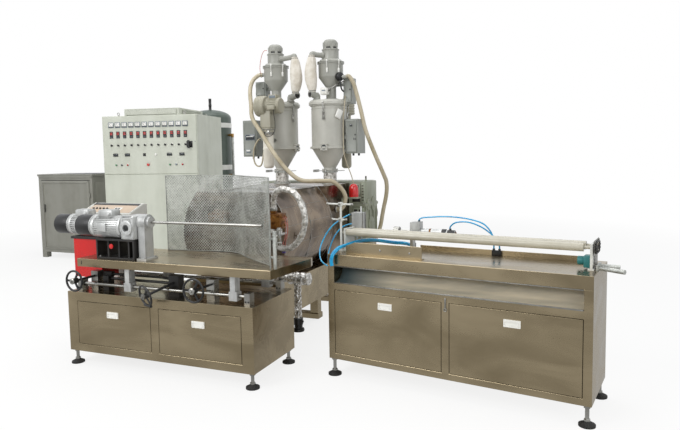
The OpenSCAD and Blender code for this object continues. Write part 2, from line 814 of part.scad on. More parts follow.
reducer_x = [20, 620];
module gear_reducers() {
    color("#9aa08c") for (side = [0, 1]) mirror([side, 0, 0])
        span(reducer_x, [housing_back, housing_back + reducer_l], [reducer_low, reducer_top]);
}

motor_big_d = 380;
motor_big_l = 400;
motor_big_z = 860;
module drive_motors() {
    y = housing_back + reducer_l;
    color("#55503f") for (x = [-300, 300]) {
        along_y(motor_big_d, x, [y, y + motor_big_l], motor_big_z);
        span([x - 130, x + 130], [y + 30, y + motor_big_l - 40], [reducer_low, motor_big_z - 100]);
    }
}

lamp_at = [555, 1300];
lamp_d = 96;
module warning_lamp() {
    color("#c81414") {
        span([body_x, lamp_at[0] + 56], [lamp_at[1] - 56, lamp_at[1] + 56], [1095, 1105]);
        along_z(lamp_d, lamp_at[0], lamp_at[1], [1104, 1190]);
        translate([lamp_at[0], lamp_at[1], 0]) rotate_extrude()
            polygon([[0, 1189], [lamp_d/2 - 4, 1189], [lamp_d/2 - 6, 1215], [lamp_d/2 - 18, 1236],
                [0, 1245]]);
        along_z(18, 580, 1600, [reducer_top, reducer_top + 52]);
    }
}

// Bench body with an open trough under its table
module cutter_cabinet() {
    color(steel) at_cutter() difference() {
        recessed(cutter_w, cutter_d, [cutter_foot, cutter_low], cutter_panel_x, cutter_panel_z);
        span([cutter_post, cutter_w - cutter_post], [-1, cutter_d - 24], [trough_z, cutter_low + 1]);
    }
}

// Sloping sheet that lets cut pieces slide to the front
module cutter_chute() {
    color("#4c5654") at_cutter() translate([cutter_post + 2, 0, 0]) rotate([90, 0, 90])
        linear_extrude(cutter_w - 2*cutter_post - 4)
            polygon([[60, trough_z], [cutter_d - 24, trough_z], [cutter_d - 24, trough_z + 96],
                [cutter_d - 32, trough_z + 96], [cutter_d - 60, trough_z + 84], [60, trough_z + 8]]);
}

module cutter_table() {
    color(bright) at_cutter() {
        difference() {
            span([0, cutter_w], [0, cutter_d], [cutter_low, cutter_top]);
            span([10, cutter_w - 10], [10, cutter_d - 10], [cutter_low - 1, cutter_top - 10]);
        }
        span([510, 1605], [430, 438], [cutter_top - 1, cutter_top + 36]);
    }
}

module side_guard() {
    color("#6d604a") at_cutter() {
        translate([0, 56, 0]) rotate([90, 0, 0]) linear_extrude(6)
            polygon([[120, cutter_top], [685, cutter_top], [685, cutter_top + 84],
                [190, cutter_top + 84], [120, cutter_top + 58]]);
        span([120, 685], [55, 90], [cutter_top, cutter_top + 6]);
    }
}

// Carrying roller with its journals and sprocket
journal_d = 20;
chain_x = roller_x[1] + 60;
module roller(y) {
    at_cutter() {
        along_x(roller_d, roller_x, y, roller_z);
        along_x(journal_d, [roller_x[0] - 34, roller_x[1] + 74], y, roller_z);
        along_x(sprocket_d, [chain_x, chain_x + 8], y, roller_z);
    }
}
module roller_front() { color(cream) roller(roller_y); }
module roller_rear() { color(cream) roller(roller_y + roller_pitch); }

stand_gap = 2;
stand_plate_y = [roller_y - 24, roller_y + roller_pitch + 24];
module stand_plate(x, top) {
    difference() {
        span(x, stand_plate_y, [cutter_top, roller_z + top]);
        for (y = [roller_y, roller_y + roller_pitch])
            along_x(journal_d + 2*fit_gap, [x[0] - 1, x[1] + 1], y, roller_z);
    }
    span([x[0] - 12, x[1] + 8], stand_plate_y, [cutter_top, cutter_top + 8]);
}
module roller_stands() {
    color("#d8d6cc") at_cutter() {
        stand_plate([roller_x[0] - 14 - stand_gap, roller_x[0] - stand_gap], 30);
        stand_plate([roller_x[1] + 38, roller_x[1] + 52], 22);
    }
}

// Chain round both roller sprockets, on a fixed guide plate
module roller_chain() {
    mid = roller_y + roller_pitch/2;
    r = sprocket_d/2 + 1;
    color("#77786f") at_cutter() {
        translate([chain_x + 1, 0, 0]) rotate([90, 0, 90]) difference() {
            linear_extrude(6) union() {
                for (y = [roller_y, roller_y + roller_pitch])
                    translate([y, roller_z]) circle(r = r + 8);
                translate([roller_y, roller_z - r - 8]) square([roller_pitch, 2*r + 16]);
            }
            translate([0, 0, -1]) linear_extrude(8) union() {
                for (y = [roller_y, roller_y + roller_pitch])
                    translate([y, roller_z]) circle(r = r);
                translate([roller_y, roller_z - r]) square([roller_pitch, 2*r]);
            }
        }
        span([chain_x + 2, chain_x + 6], [mid - 30, mid + 30], [cutter_top, roller_z - r - 4]);
    }
}

// Post with two cross arms at the bench's left corner
post_at = [24, 148];
module post_stand() {
    color("#e4e2da") at_cutter() {
        along_z(16, post_at[0], post_at[1], [cutter_top, 1206]);
        along_z(30, post_at[0], post_at[1], [cutter_top, cutter_top + 8]);
        along_x(12, [-80, 110], post_at[1], 1196);
        along_x(10, [-40, 60], post_at[1], 1086);
        for (z = [1086, 1196]) span([post_at[0] - 13, post_at[0] + 13], [post_at[1] - 13, post_at[1] + 13],
            [z - 13, z + 13]);
    }
}

// Upright cylinder on two rods
lift_x = [48, 84];
lift_y = 334;
lift_z = [1000, 1122];
module lift_cylinder() {
    color(grey) at_cutter() {
        for (x = lift_x) along_z(12, x, lift_y, [cutter_top, lift_z[0] + 1]);
        along_z(10, lift_x[1], lift_y, [lift_z[1] - 1, 1165]);
        span([lift_x[0] - 26, lift_x[1] + 22], [lift_y - 30, lift_y + 30], lift_z);
        span([lift_x[0] - 26, lift_x[1] + 22], [lift_y - 30, lift_y + 30], [cutter_top, cutter_top + 10]);
    }
}

// Clamp bracket that holds the horizontal push cylinder
push_y = 390;
push_z = cutter_top + 140;
bracket_at = 467;
cyl_x = [535, 695];
push_bar = 12;
push_free = 2;
module push_cylinder() {
    color(grey) at_cutter() difference() {
        union() {
            span([bracket_at - 8, bracket_at + 12], [push_y - 24, push_y + 24], [cutter_top, push_z + 62]);
            span([bracket_at + 11, cyl_x[0]], [push_y - 30, push_y + 30], [push_z + 4, push_z + 68]);
            along_x(44, [bracket_at + 12, cyl_x[1]], push_y, push_z);
            along_x(36, [cyl_x[1] - 1, cyl_x[1] + 90], push_y, push_z);
        }
        along_x(push_bar + 2*fit_gap, [bracket_at - 20, cyl_x[1] - 20], push_y, push_z);
    }
}
module push_rod() {
    color(cream) at_cutter() {
        along_x(push_bar, [360, cyl_x[1] - 20 - push_travel - push_free], push_y, push_z);
        along_x(48, [325 + 1, 380 - 12], push_y, push_z);
    }
}

// Blue air hoses between their fittings
hose_back = 500;
bundle_route = [[418, hose_back, 878], [390, 498, 884], [340, 494, 890], [294, 478, 892], [248, 446, 900],
    [196, 400, 912], [148, 340, 920], [116, 270, 922], [98, 190, 918], [88, 110, 912], [76, 38, 904],
    [60, -20, 870], [50, -32, 822], [54, -30, 786]];
arc_route = [[520, push_y, 1068.2], [520, push_y, 1082], [548, push_y, 1096], [620, push_y, 1104],
    [700, push_y, 1110], [790, push_y, 1110], [891, push_y, 1099], [977, 396, 1073], [1024, 408, 1022],
    [1040, 420, 965], [1042, 422, 925], [1042, 422, 896]];
branch_route = [[750, push_y, 1018.4], [750, push_y, 1042], [800, 366, 1076], [887, 366, 1082],
    [972, 378, 1052], [1040, 396, 1000], [1072, 412, 950], [1080, 420, 925], [1080, 422, 896]];
drop_routes = [
    [[21.5, 310, 1105], [0, 310, 1105], [-60, 292, 1071], [-126, 262, 1016], [-166, 222, 938],
        [-160, 150, 862], [-110, 80, 800], [-40, 45, 770], [-0.5, 45, 770]],
    [[21.5, 344, 1034], [0, 344, 1034], [-70, 330, 1010], [-120, 300, 948], [-136, 252, 864],
        [-104, 170, 800], [-40, 115, 760], [-0.5, 115, 760]]];
module air_hoses() {
    color(blue) at_cutter() {
        hose(bundle_route, 26, 3, 10, [0.1, 1, 0.1]);
        hose(arc_route, 10, 3, 8, [0.1, 1, 0.3]);
        hose(branch_route, 10, 3, 8, [0.1, 1, 0.3]);
        for (route = drop_routes) hose(route, 10, 3, 8, [0.2, 1, 0.2]);
        span([1030, 1092], [411, 429], [cutter_top, 897]);
        span([408, 440], [hose_back - 17, hose_back + 17], [cutter_top, 896]);
    }
}

tube_z = cutter_top + 15;
tube_start = 1710;
module guide_tubes() {
    color("#b9b6ad") at_cutter() {
        difference() {
            union() {
                translate([1690, 203, tube_z]) rotate([0, 90, -26.3]) cylinder(d = 26, h = 196);
                along_x(24, [1690, 1826], 262, tube_z);
            }
            span([1680, tube_start], [150, 300], [cutter_top - 1, cutter_top + 40]);
        }
        span([tube_start - 1, tube_start + 12], [170, 290], [cutter_top, tube_z + 17]);
    }
}

// Control cabinet with its vent box and two front covers
module at_control() { translate(control_at) rotate(control_turn) children(); }
vent_x = [323, 1117];
module control_cabinet() {
    e = control_edge;
    color(pale) at_control() {
        span([0, control_w], [0, control_d], [60, control_h]);
        span([20, control_w - 20], [20, control_d - 20], [0, 61]);
        span(vent_x, [20, control_d - 60], [control_h - 1, control_h + 93]);
        span([e, control_w - e], [-control_skin, 1], [70, control_seam - 4]);
        span([e, control_w - e], [-control_skin, 1], [control_seam + 4, control_h - e]);
    }
}

module dial(x, w, h, z, depth = 6) {
    span([x - w/2, x + w/2], [-control_skin - depth, -control_skin], [z - h/2, z + h/2]);
}
module button(x, z, d = 26, depth = 16) {
    along_y(d, x, [-control_skin - depth, -control_skin], z);
}
display_x = [188, 361, 973, 1152];
button_x = [192, 274, 362, 663, 978, 1068, 1157];
module panel_instruments() {
    color(dark) at_control() {
        for (i = [0:11]) {
            x = instrument_x + i*column_pitch;
            dial(x, 78, 74, meter_z, 10);
            dial(x, 48, 92, controller_z, 8);
            button(x, knob_z);
        }
        for (x = display_x) dial(x, 72, 40, display_z, 8);
        dial(611, 40, 40, display_z, 8);
        button(778, display_z, 30);
        for (x = button_x) button(x, button_z);
    }
}

isolator_z = 1712;
module isolator_handle() {
    color(dark) at_control() {
        along_y(56, isolator_x, [-control_skin - 30, -control_skin - fit_gap], isolator_z);
        span([isolator_x - 12, isolator_x + 12], [-control_skin - 46, -control_skin - 29],
            [isolator_z - 54, isolator_z + 54]);
    }
}

module side_cabinet() {
    color("#94938a") translate(side_at) {
        span([0, side_w], [0, side_d], [90, side_h - 30]);
        span([-12, side_w + 12], [-12, side_d + 12], [side_h - 31, side_h]);
        for (x = [0, side_w - 90], y = [0, side_d - 90])
            span([x, x + 90], [y, y + 90], [0, 91]);
    }
}

// Upright air tank with domed ends on a skirt
tank_pipe = [1230, 1890];
module air_tank() {
    r = tank_d/2;
    color("#4a5850") translate(tank_at) {
        rotate_extrude($fn = 72)
            polygon([[0, 0], [r - 40, 0], [r - 40, 120], [r, 160], [r, 1372], [r + 5, 1372], [r + 5, 1388],
                [r, 1388], [r, tank_h - 264], [r + 5, tank_h - 264], [r + 5, tank_h - 248],
                [r, tank_h - 248], [r, tank_h - 130],
                for (a = [15:15:75]) [r*cos(a), tank_h - 130 + 130*sin(a)], [0, tank_h]]);
        along_z(42, 0, 0, [tank_h - 20, tank_h + 176]);
        along_z(34, r + 75, 0, tank_pipe);
        for (z = [tank_pipe[0] + 20, tank_pipe[1] - 20]) along_x(28, [r - 20, r + 75], 0, z);
    }
}

winder_cabinet();
bench_panels();
pull_handles();
bench_feet();
winder_rails();
table_slide();
screw_bars();
handwheel_left();
handwheel_middle();
handwheel_right();
winder_table();
drive_bracket();
motor_base();
gear_motors();
fan_covers();
gearboxes();
spindle_bearing();
spindle();
operator_console();
mesh_guard();
extruder_base();
barrel_housing();
die_heads();
hot_air_hose();
foil_pipe();
dryer_left();
dryer_right();
loader_left();
loader_right();
dryer_blowers();
filter_bags();
exhaust_elbows();
dryer_controls();
feed_throats();
gate_left();
gate_right();
suction_hoses();
gear_reducers();
drive_motors();
warning_lamp();
cutter_cabinet();
cutter_chute();
cutter_table();
side_guard();
roller_front();
roller_rear();
roller_stands();
roller_chain();
post_stand();
lift_cylinder();
push_cylinder();
push_rod();
air_hoses();
guide_tubes();
control_cabinet();
panel_instruments();
isolator_handle();
side_cabinet();
air_tank();
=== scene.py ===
import bpy
import json
import math
from mathutils import Matrix, Vector, noise


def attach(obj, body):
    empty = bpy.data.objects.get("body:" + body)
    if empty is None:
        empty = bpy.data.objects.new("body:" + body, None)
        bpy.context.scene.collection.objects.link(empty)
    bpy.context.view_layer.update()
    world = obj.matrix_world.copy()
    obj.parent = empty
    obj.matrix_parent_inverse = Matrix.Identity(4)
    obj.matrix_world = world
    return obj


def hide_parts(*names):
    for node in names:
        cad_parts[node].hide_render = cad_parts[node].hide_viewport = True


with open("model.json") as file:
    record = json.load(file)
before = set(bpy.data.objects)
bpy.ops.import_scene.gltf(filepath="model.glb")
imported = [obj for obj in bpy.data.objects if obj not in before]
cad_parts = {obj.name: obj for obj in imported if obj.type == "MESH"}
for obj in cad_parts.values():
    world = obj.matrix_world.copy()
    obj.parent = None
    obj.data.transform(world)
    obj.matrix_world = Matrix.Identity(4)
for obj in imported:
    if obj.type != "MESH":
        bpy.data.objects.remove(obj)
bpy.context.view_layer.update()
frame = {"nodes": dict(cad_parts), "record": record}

bpy.ops.object.select_all(action="DESELECT")

# camera, matched to the photograph's perspective
cameraSettings = {
    "place": (2.73, -4.4, 1.553),  # about eye height, right of the line
    "turn": 22.22,  # degrees to the left of straight ahead
    "down": 4.648,
    "roll": -0.967,
    "lens": 31.774,
    "sensor": 36.0,
    "shiftY": -0.01856,
}


def makeCamera(s):
    bpy.ops.object.camera_add(location=s["place"])
    camera = bpy.context.object
    camera.name = "camera"
    camera.data.lens = s["lens"]
    camera.data.sensor_width = s["sensor"]
    camera.data.sensor_fit = "HORIZONTAL"
    camera.data.shift_y = s["shiftY"]
    turn = Matrix.Rotation(math.radians(s["turn"]), 4, "Z")
    tilt = Matrix.Rotation(math.radians(90 - s["down"]), 4, "X")
    roll = Matrix.Rotation(math.radians(s["roll"]), 4, "Z")
    camera.matrix_world = Matrix.Translation(s["place"]) @ turn @ tilt @ roll
    bpy.context.scene.camera = camera


makeCamera(cameraSettings)


# sRGB hex to the linear colour that sockets take
def toLinear(hexCode):
    parts = [int(hexCode[i:i + 2], 16)/255 for i in (1, 3, 5)]
    return [p/12.92 if p <= 0.04045 else ((p + 0.055)/1.055)**2.4 for p in parts] + [1.0]


# adds one node: settings go to its own properties or to sockets, where a hex code becomes a colour, and a link that
# comes from a whole node takes its first output
def addNode(tree, kind, settings={}, links={}):
    node = tree.nodes.new("ShaderNode" + kind)
    own = [key for key in settings if isinstance(key, str) and hasattr(node, key)]
    for key in own:
        setattr(node, key, settings[key])
    for key, value in settings.items():
        if key not in own:
            node.inputs[key].default_value = toLinear(value) if isinstance(value, str) else value
    for key, source in links.items():
        tree.links.new(source.outputs[0] if isinstance(source, bpy.types.Node) else source, node.inputs[key])
    return node


def newTree(name):
    material = bpy.data.materials.new(name)
    material.use_nodes = True
    material.node_tree.nodes.clear()
    return material, material.node_tree


# a pale floor that is white to the eye and in gloss, and grey only where the object shades it
stageSettings = {"size": 90, "middle": (-1, 3, 0), "near": 3.5, "far": 8.0, "nearShare": 0.78, "inGloss": 0.62,
                 "sky": 0.5, "skyInGloss": 1.15}


def makeStage(s):
    bpy.ops.mesh.primitive_plane_add(size=s["size"], location=s["middle"])
    floor = bpy.context.object
    floor.name = "floor"
    material, tree = newTree("paleStudioFloor")
    path = addNode(tree, "LightPath")
    seen = addNode(tree, "Math", {"operation": "MAXIMUM"},
                   {0: path.outputs["Is Camera Ray"], 1: path.outputs["Is Glossy Ray"]})
    place = addNode(tree, "TexCoord")
    far = addNode(tree, "VectorMath", {"operation": "LENGTH"}, {0: place.outputs["Object"]})
    fade = addNode(tree, "MapRange", {"From Min": s["near"], "From Max": s["far"], "To Min": s["nearShare"],
                                      "To Max": 1.0}, {0: far.outputs["Value"]})
    share = addNode(tree, "Math", {"operation": "MULTIPLY"}, {0: seen, 1: fade})
    matt = addNode(tree, "BsdfDiffuse", {"Color": "#f4f4f2"})
    level = addNode(tree, "MapRange", {"From Min": 0, "From Max": 1, "To Min": 1.0, "To Max": s["inGloss"]},
                    {0: path.outputs["Is Glossy Ray"]})
    white = addNode(tree, "Emission", {"Color": "#ffffff"}, {"Strength": level})
    mix = addNode(tree, "MixShader", {}, {0: share, 1: matt, 2: white})
    addNode(tree, "OutputMaterial", {}, {"Surface": mix})
    floor.data.materials.append(material)

    world = bpy.data.worlds.new("studio")
    bpy.context.scene.world = world
    world.use_nodes = True
    tree = world.node_tree
    tree.nodes.clear()
    path = addNode(tree, "LightPath")
    seen = addNode(tree, "Math", {"operation": "MAXIMUM"},
                   {0: path.outputs["Is Camera Ray"], 1: path.outputs["Is Transmission Ray"]})
    level = addNode(tree, "MapRange", {"From Min": 0, "From Max": 1, "To Min": s["sky"], "To Max": s["skyInGloss"]},
                    {0: path.outputs["Is Glossy Ray"]})
    soft = addNode(tree, "Background", {"Color": "#f2f4f7"}, {"Strength": level})
    white = addNode(tree, "Background", {"Color": "#ffffff", "Strength": 1.0})
    mix = addNode(tree, "MixShader", {}, {0: seen, 1: soft, 2: white})
    addNode(tree, "OutputWorld", {}, {"Surface": mix})


lampSettings = {
    "key": {"place": (-3.5, -7.5, 6.0), "aim": (0, 0.5, 0.8), "size": 5.0, "watts": 430},
    "fill": {"place": (7.5, -5.0, 4.0), "aim": (0.5, 0.5, 0.9), "size": 4.0, "watts": 160},
    "top": {"place": (-0.5, 1.5, 7.5), "aim": (-0.5, 1.0, 0.0), "size": 7.0, "watts": 300},
}


def makeLamps(settings):
    for name, s in settings.items():
        bpy.ops.object.light_add(type="AREA", location=s["place"])
        lamp = bpy.context.object
        lamp.name = name
        lamp.data.shape = "SQUARE"
        lamp.data.size = s["size"]
        lamp.data.energy = s["watts"]
        lamp.rotation_euler = (Vector(s["aim"]) - Vector(s["place"])).to_track_quat("-Z", "Y").to_euler()


makeStage(stageSettings)
makeLamps(lampSettings)
bpy.context.scene.view_settings.view_transform = "Standard"
print("stage: camera, floor and lamps")


# a noise pattern whose blotches are about so many millimetres across, drawn out by stretch
def patternAt(tree, size, detail=3.0, stretch=(1, 1, 1), roughness=0.55, distortion=0.0):
    place = addNode(tree, "TexCoord")
    way = addNode(tree, "Mapping", {"Scale": [k*1000/size for k in stretch]}, {"Vector": place.outputs["Object"]})
    return addNode(tree, "TexNoise", {"Scale": 1.0, "Detail": detail, "Roughness": roughness,
                                      "Distortion": distortion}, {"Vector": way})


# how a pattern's middle values spread over a range, for a MapRange node
def evenly(low, high, fromLow=0.35, fromHigh=0.65):
    return {"From Min": fromLow, "From Max": fromHigh, "To Min": low, "To Max": high}


# the settings of a Mix node between two colours
def between(first, second):
    return {"data_type": "RGBA", 6: first, 7: second}


def finishTree(material, tree, settings, links):
    shader = addNode(tree, "BsdfPrincipled", settings, links)
    addNode(tree, "OutputMaterial", {}, {"Surface": shader})
    return material


# polished stainless sheet: warm mirror with faint drawn lines, slow dents and smeared finger haze
def polishedStainless(name, s):
    material, tree = newTree(name)
    line = patternAt(tree, s["line"], 3.0, (0.02, 1, 1))
    haze = patternAt(tree, s["haze"], 3.0, (0.35, 1, 1), 0.5, 0.6)
    dent = patternAt(tree, s["dent"], 1.0)
    share = addNode(tree, "MapRange", evenly(0, 1), {0: haze})
    colour = addNode(tree, "Mix", between(s["dark"], s["light"]), {0: share}).outputs[2]
    smear = addNode(tree, "MapRange", evenly(*s["rough"]), {0: haze})
    drawn = addNode(tree, "MapRange", evenly(0.0, 0.05), {0: line})
    rough = addNode(tree, "Math", {"operation": "ADD"}, {0: smear, 1: drawn})
    grain = addNode(tree, "Bump", {"Strength": 0.04, "Distance": 0.0004}, {"Height": line})
    wave = addNode(tree, "Bump", {"Strength": s["wave"], "Distance": 0.02}, {"Height": dent, "Normal": grain})
    return finishTree(material, tree, {"Metallic": 1.0}, {"Base Color": colour, "Roughness": rough, "Normal": wave})


# sprayed enamel over sheet steel, or moulded plastic: even colour, faint peel, a little shop dust in soft clouds
def sprayedEnamel(name, s):
    material, tree = newTree(name)
    cloud = s.get("cloud", 350.0)
    dust = patternAt(tree, cloud, 5.0, roughness=0.62)
    drip = patternAt(tree, cloud*0.5, 3.0, (1, 1, 0.18))
    peel = patternAt(tree, s.get("peel", 4.0), 2.0)
    both = addNode(tree, "Math", {"operation": "MULTIPLY"}, {0: dust, 1: drip})
    share = addNode(tree, "MapRange", evenly(0, 1, 0.18, 0.42), {0: both})
    colour = addNode(tree, "Mix", between(s["colour"], s["dusty"]), {0: share}).outputs[2]
    rough = addNode(tree, "MapRange", evenly(s["rough"] - 0.05, s["rough"] + 0.12, 0.3, 0.7), {0: dust})
    bump = addNode(tree, "Bump", {"Strength": s.get("bump", 0.12), "Distance": 0.0008}, {"Height": peel})
    return finishTree(material, tree, {"Metallic": s.get("metal", 0.0), "Coat Weight": s.get("coat", 0.0)},
                      {"Base Color": colour, "Roughness": rough, "Normal": bump})


# drawn sheet in the trough: painted shade at its left end, a pale painted highlight to the right, long streaks from
# sliding pieces
def shadedTrough(name, s):
    material, tree = newTree(name)
    place = addNode(tree, "TexCoord")
    axes = addNode(tree, "SeparateXYZ", {}, {0: place.outputs["Object"]})
    streak = patternAt(tree, 60.0, 4.0, (0.1, 1, 1))
    # the colour runs from dark to pale cream along x: painted shade at the left end, a painted highlight to the right
    along = addNode(tree, "MapRange", evenly(0.0, 1.0, *s["x"]), {0: axes})
    thin = addNode(tree, "MapRange", evenly(0.7, 1.0), {0: streak})
    share = addNode(tree, "Math", {"operation": "MULTIPLY"}, {0: along, 1: thin})
    colour = addNode(tree, "Mix", between(s["dark"], s["light"]), {0: share}).outputs[2]
    return finishTree(material, tree, {"Metallic": 0.35, "Roughness": 0.34}, {"Base Color": colour})


# galvanised sheet: zinc crystals as flat cells of slightly different grey
def spangledZinc(name, s):
    material, tree = newTree(name)
    place = addNode(tree, "TexCoord")
    cells = addNode(tree, "TexVoronoi", {"Scale": 1000/s["crystal"]}, {"Vector": place.outputs["Object"]})
    grey = addNode(tree, "SeparateColor", {}, {0: cells.outputs["Color"]})
    cloud = patternAt(tree, s["cloud"], 5.0, (1, 1, 1), 0.65, 1.0)
    stain = addNode(tree, "MapRange", evenly(0.0, 0.65), {0: cloud})
    share = addNode(tree, "Math", {"operation": "MULTIPLY_ADD", 1: 0.35}, {0: grey, 2: stain})
    colour = addNode(tree, "Mix", between(s["dark"], s["light"]), {0: share}).outputs[2]
    rough = addNode(tree, "MapRange", evenly(*s["rough"], 0, 1), {0: grey})
    dent = addNode(tree, "Bump", {"Strength": 0.3, "Distance": 0.01}, {"Height": cloud})
    return finishTree(material, tree, {"Metallic": s["metal"]},
                      {"Base Color": colour, "Roughness": rough, "Normal": dent})


# glass tape and foil wrapped over a hose or pipe: creases with dull and bright facets
def wrappedFoil(name, s):
    material, tree = newTree(name)
    place = addNode(tree, "TexCoord")
    bend = patternAt(tree, s["crease"]*3, 2.0)
    way = addNode(tree, "VectorMath", {"operation": "MULTIPLY_ADD", 1: (0.03, 0.03, 0.03)},
                  {0: bend.outputs["Color"], 2: place.outputs["Object"]})
    facets = addNode(tree, "TexVoronoi", {"Scale": 1000/s["crease"], "feature": "SMOOTH_F1"}, {"Vector": way})
    soil = patternAt(tree, s["soil"], 5.0, roughness=0.65)
    share = addNode(tree, "MapRange", evenly(0, 1, 0.42, 0.62), {0: soil})
    colour = addNode(tree, "Mix", between(s["light"], s["dark"]), {0: share}).outputs[2]
    rough = addNode(tree, "MapRange", evenly(*s["rough"], 0.1, 0.7), {0: facets})
    bump = addNode(tree, "Bump", {"Strength": 0.7, "Distance": 0.004}, {"Height": facets})
    return finishTree(material, tree, {"Metallic": s["metal"]},
                      {"Base Color": colour, "Roughness": rough, "Normal": bump})


# woven filter cloth: crossing threads, slow folds and a little dust from the granules
def wovenCloth(name, s):
    material, tree = newTree(name)
    place = addNode(tree, "TexCoord")
    threads = [addNode(tree, "TexWave", {"bands_direction": way, "Scale": 1000/s["thread"]/6.28, "Distortion": 0.4,
                                         "Detail": 1.0}, {"Vector": place.outputs["Object"]}) for way in ("X", "Z")]
    weave = addNode(tree, "Math", {"operation": "MAXIMUM"}, {i: t.outputs["Fac"] for i, t in enumerate(threads)})
    dust = patternAt(tree, 60.0, 4.0)
    share = addNode(tree, "MapRange", evenly(0, 1), {0: dust})
    shade = addNode(tree, "Mix", between(s["light"], s["dark"]), {0: share}).outputs[2]
    gaps = addNode(tree, "MapRange", evenly(0.0, 0.18, 0.2, 1.0), {0: weave})
    colour = addNode(tree, "Mix", {"data_type": "RGBA", 7: s["dark"]}, {0: gaps, 6: shade}).outputs[2]
    bump = addNode(tree, "Bump", {"Strength": 0.35, "Distance": 0.0006}, {"Height": weave})
    return finishTree(material, tree, {"Roughness": 0.9, "Sheen Weight": 0.25}, {"Base Color": colour, "Normal": bump})


# steel darkened by heat: straw and brown patches with a dull scale
def heatTintedSteel(name, s):
    material, tree = newTree(name)
    patch = patternAt(tree, s["patch"], 4.0, (1, 1, 1), 0.6, 1.2)
    scale = patternAt(tree, 9.0, 4.0)
    ramp = addNode(tree, "ValToRGB", {}, {"Fac": patch})
    for place, hexCode in s["tints"].items():
        spot = ramp.color_ramp.elements.new(place)
        spot.color = toLinear(hexCode)
    for end in (0, -1):
        ramp.color_ramp.elements.remove(ramp.color_ramp.elements[end])
    rough = addNode(tree, "MapRange", evenly(0.34, 0.6), {0: scale})
    bump = addNode(tree, "Bump", {"Strength": 0.2, "Distance": 0.001}, {"Height": scale})
    return finishTree(material, tree, {"Metallic": 0.85}, {"Base Color": ramp, "Roughness": rough, "Normal": bump})


# ground bar: fine rings across the turning direction, a light oil film
def groundBar(name, s):
    material, tree = newTree(name)
    ring = patternAt(tree, s["ring"], 2.0, (1, 0.3, 0.3))
    film = patternAt(tree, 120.0, 4.0)
    share = addNode(tree, "MapRange", evenly(0, 1), {0: film})
    colour = addNode(tree, "Mix", between(s["light"], s["dark"]), {0: share}).outputs[2]
    oil = addNode(tree, "MapRange", evenly(s["rough"], s["rough"] + 0.14), {0: film})
    turned = addNode(tree, "MapRange", evenly(0.0, 0.06), {0: ring})
    rough = addNode(tree, "Math", {"operation": "ADD"}, {0: oil, 1: turned})
    bump = addNode(tree, "Bump", {"Strength": 0.1, "Distance": 0.0003}, {"Height": ring})
    return finishTree(material, tree, {"Metallic": 1.0}, {"Base Color": colour, "Roughness": rough, "Normal": bump})


# clear tube or lens plastic: light passes a little way in
def clearPlastic(name, s):
    material, tree = newTree(name)
    cloud = patternAt(tree, s["cloud"], 3.0)
    share = addNode(tree, "MapRange", evenly(0, 1), {0: cloud})
    colour = addNode(tree, "Mix", between(s["light"], s["dark"]), {0: share}).outputs[2]
    return finishTree(material, tree, {"Roughness": s["rough"], "Transmission Weight": s["clear"], "Coat Weight": 0.4},
                      {"Base Color": colour})


# pattern sizes are in millimetres; names with an underscore are the record's own slots, the others are small trim
finishes = {
    # metals
    "stainless": polishedStainless("polishedStainless", {
        "dark": "#8c7f66", "light": "#a4967b", "line": 3, "haze": 220, "dent": 420, "wave": 0.14,
        "rough": (0.18, 0.3)}),
    "drumSheet": polishedStainless("dentedDrumSheet", {  # thin lagging sheet, dented by hand
        "dark": "#5a4e44", "light": "#8c7c69", "line": 3, "haze": 260, "dent": 170, "wave": 0.45,
        "rough": (0.14, 0.3)}),
    # trough finish: painted shade at the left end and a painted highlight to the right
    "troughSheetPaintedLight": shadedTrough("troughSheetPaintedLight", {"dark": "#5d6d70", "light": "#efe4cb", "x": (1.203, 1.583)}),
    "bright_steel": groundBar("groundSteel", {"light": "#a9a8a3", "dark": "#85847f", "ring": 2.5, "rough": 0.2}),
    "brass": groundBar("brassCasting", {"light": "#b08a52", "dark": "#7c5c33", "ring": 3.0, "rough": 0.3}),
    "galvanised": spangledZinc("zincSheet", {"dark": "#7d7f79", "light": "#c9cbc5", "crystal": 14, "cloud": 160,
                                             "metal": 0.55, "rough": (0.32, 0.5)}),
    "heat_steel": heatTintedSteel("heatTintedSteel", {
        "patch": 60, "tints": {0.3: "#3c2514", 0.45: "#6b441e", 0.56: "#8a5f2c", 0.7: "#4b3423"}}),
    "cast_aluminium": sprayedEnamel("silverPaintedCasting", {  # coarse cast skin under silver paint
        "colour": "#c9cac8", "dusty": "#9c9d9b", "rough": 0.34, "metal": 0.5, "cloud": 120, "peel": 2.4, "bump": 0.3}),
    # wraps and cloth
    "lagging": wrappedFoil("wrappedFoil", {"light": "#e6e4df", "dark": "#8f8b82", "crease": 11, "soil": 26,
                                           "metal": 0.45, "rough": (0.2, 0.6)}),
    "crushedFoil": wrappedFoil("crushedFoil", {"light": "#eceae6", "dark": "#8d8a84", "crease": 14, "soil": 30,
                                               "metal": 0.75, "rough": (0.12, 0.4)}),
    "filter_cloth": wovenCloth("wovenFilterCloth", {"light": "#e9e4da", "dark": "#d2cabb", "thread": 2.0}),
    # translucent plastics
    "red_lens": clearPlastic("redLens", {"light": "#e81c1c", "dark": "#cc1212", "cloud": 40, "rough": 0.15,
                                         "clear": 0.15}),
    "blue_tube": clearPlastic("blueDrawnTube", {"light": "#17b9ec", "dark": "#0fa0da", "cloud": 60, "rough": 0.25,
                                                "clear": 0.1}),
    "redButton": clearPlastic("redButton", {"light": "#d02a20", "dark": "#a81a14", "cloud": 20, "rough": 0.25,
                                            "clear": 0.05}),
    "greenButton": clearPlastic("greenButton", {"light": "#2d8c50", "dark": "#1f6b3b", "cloud": 20, "rough": 0.25,
                                                "clear": 0.05}),
}
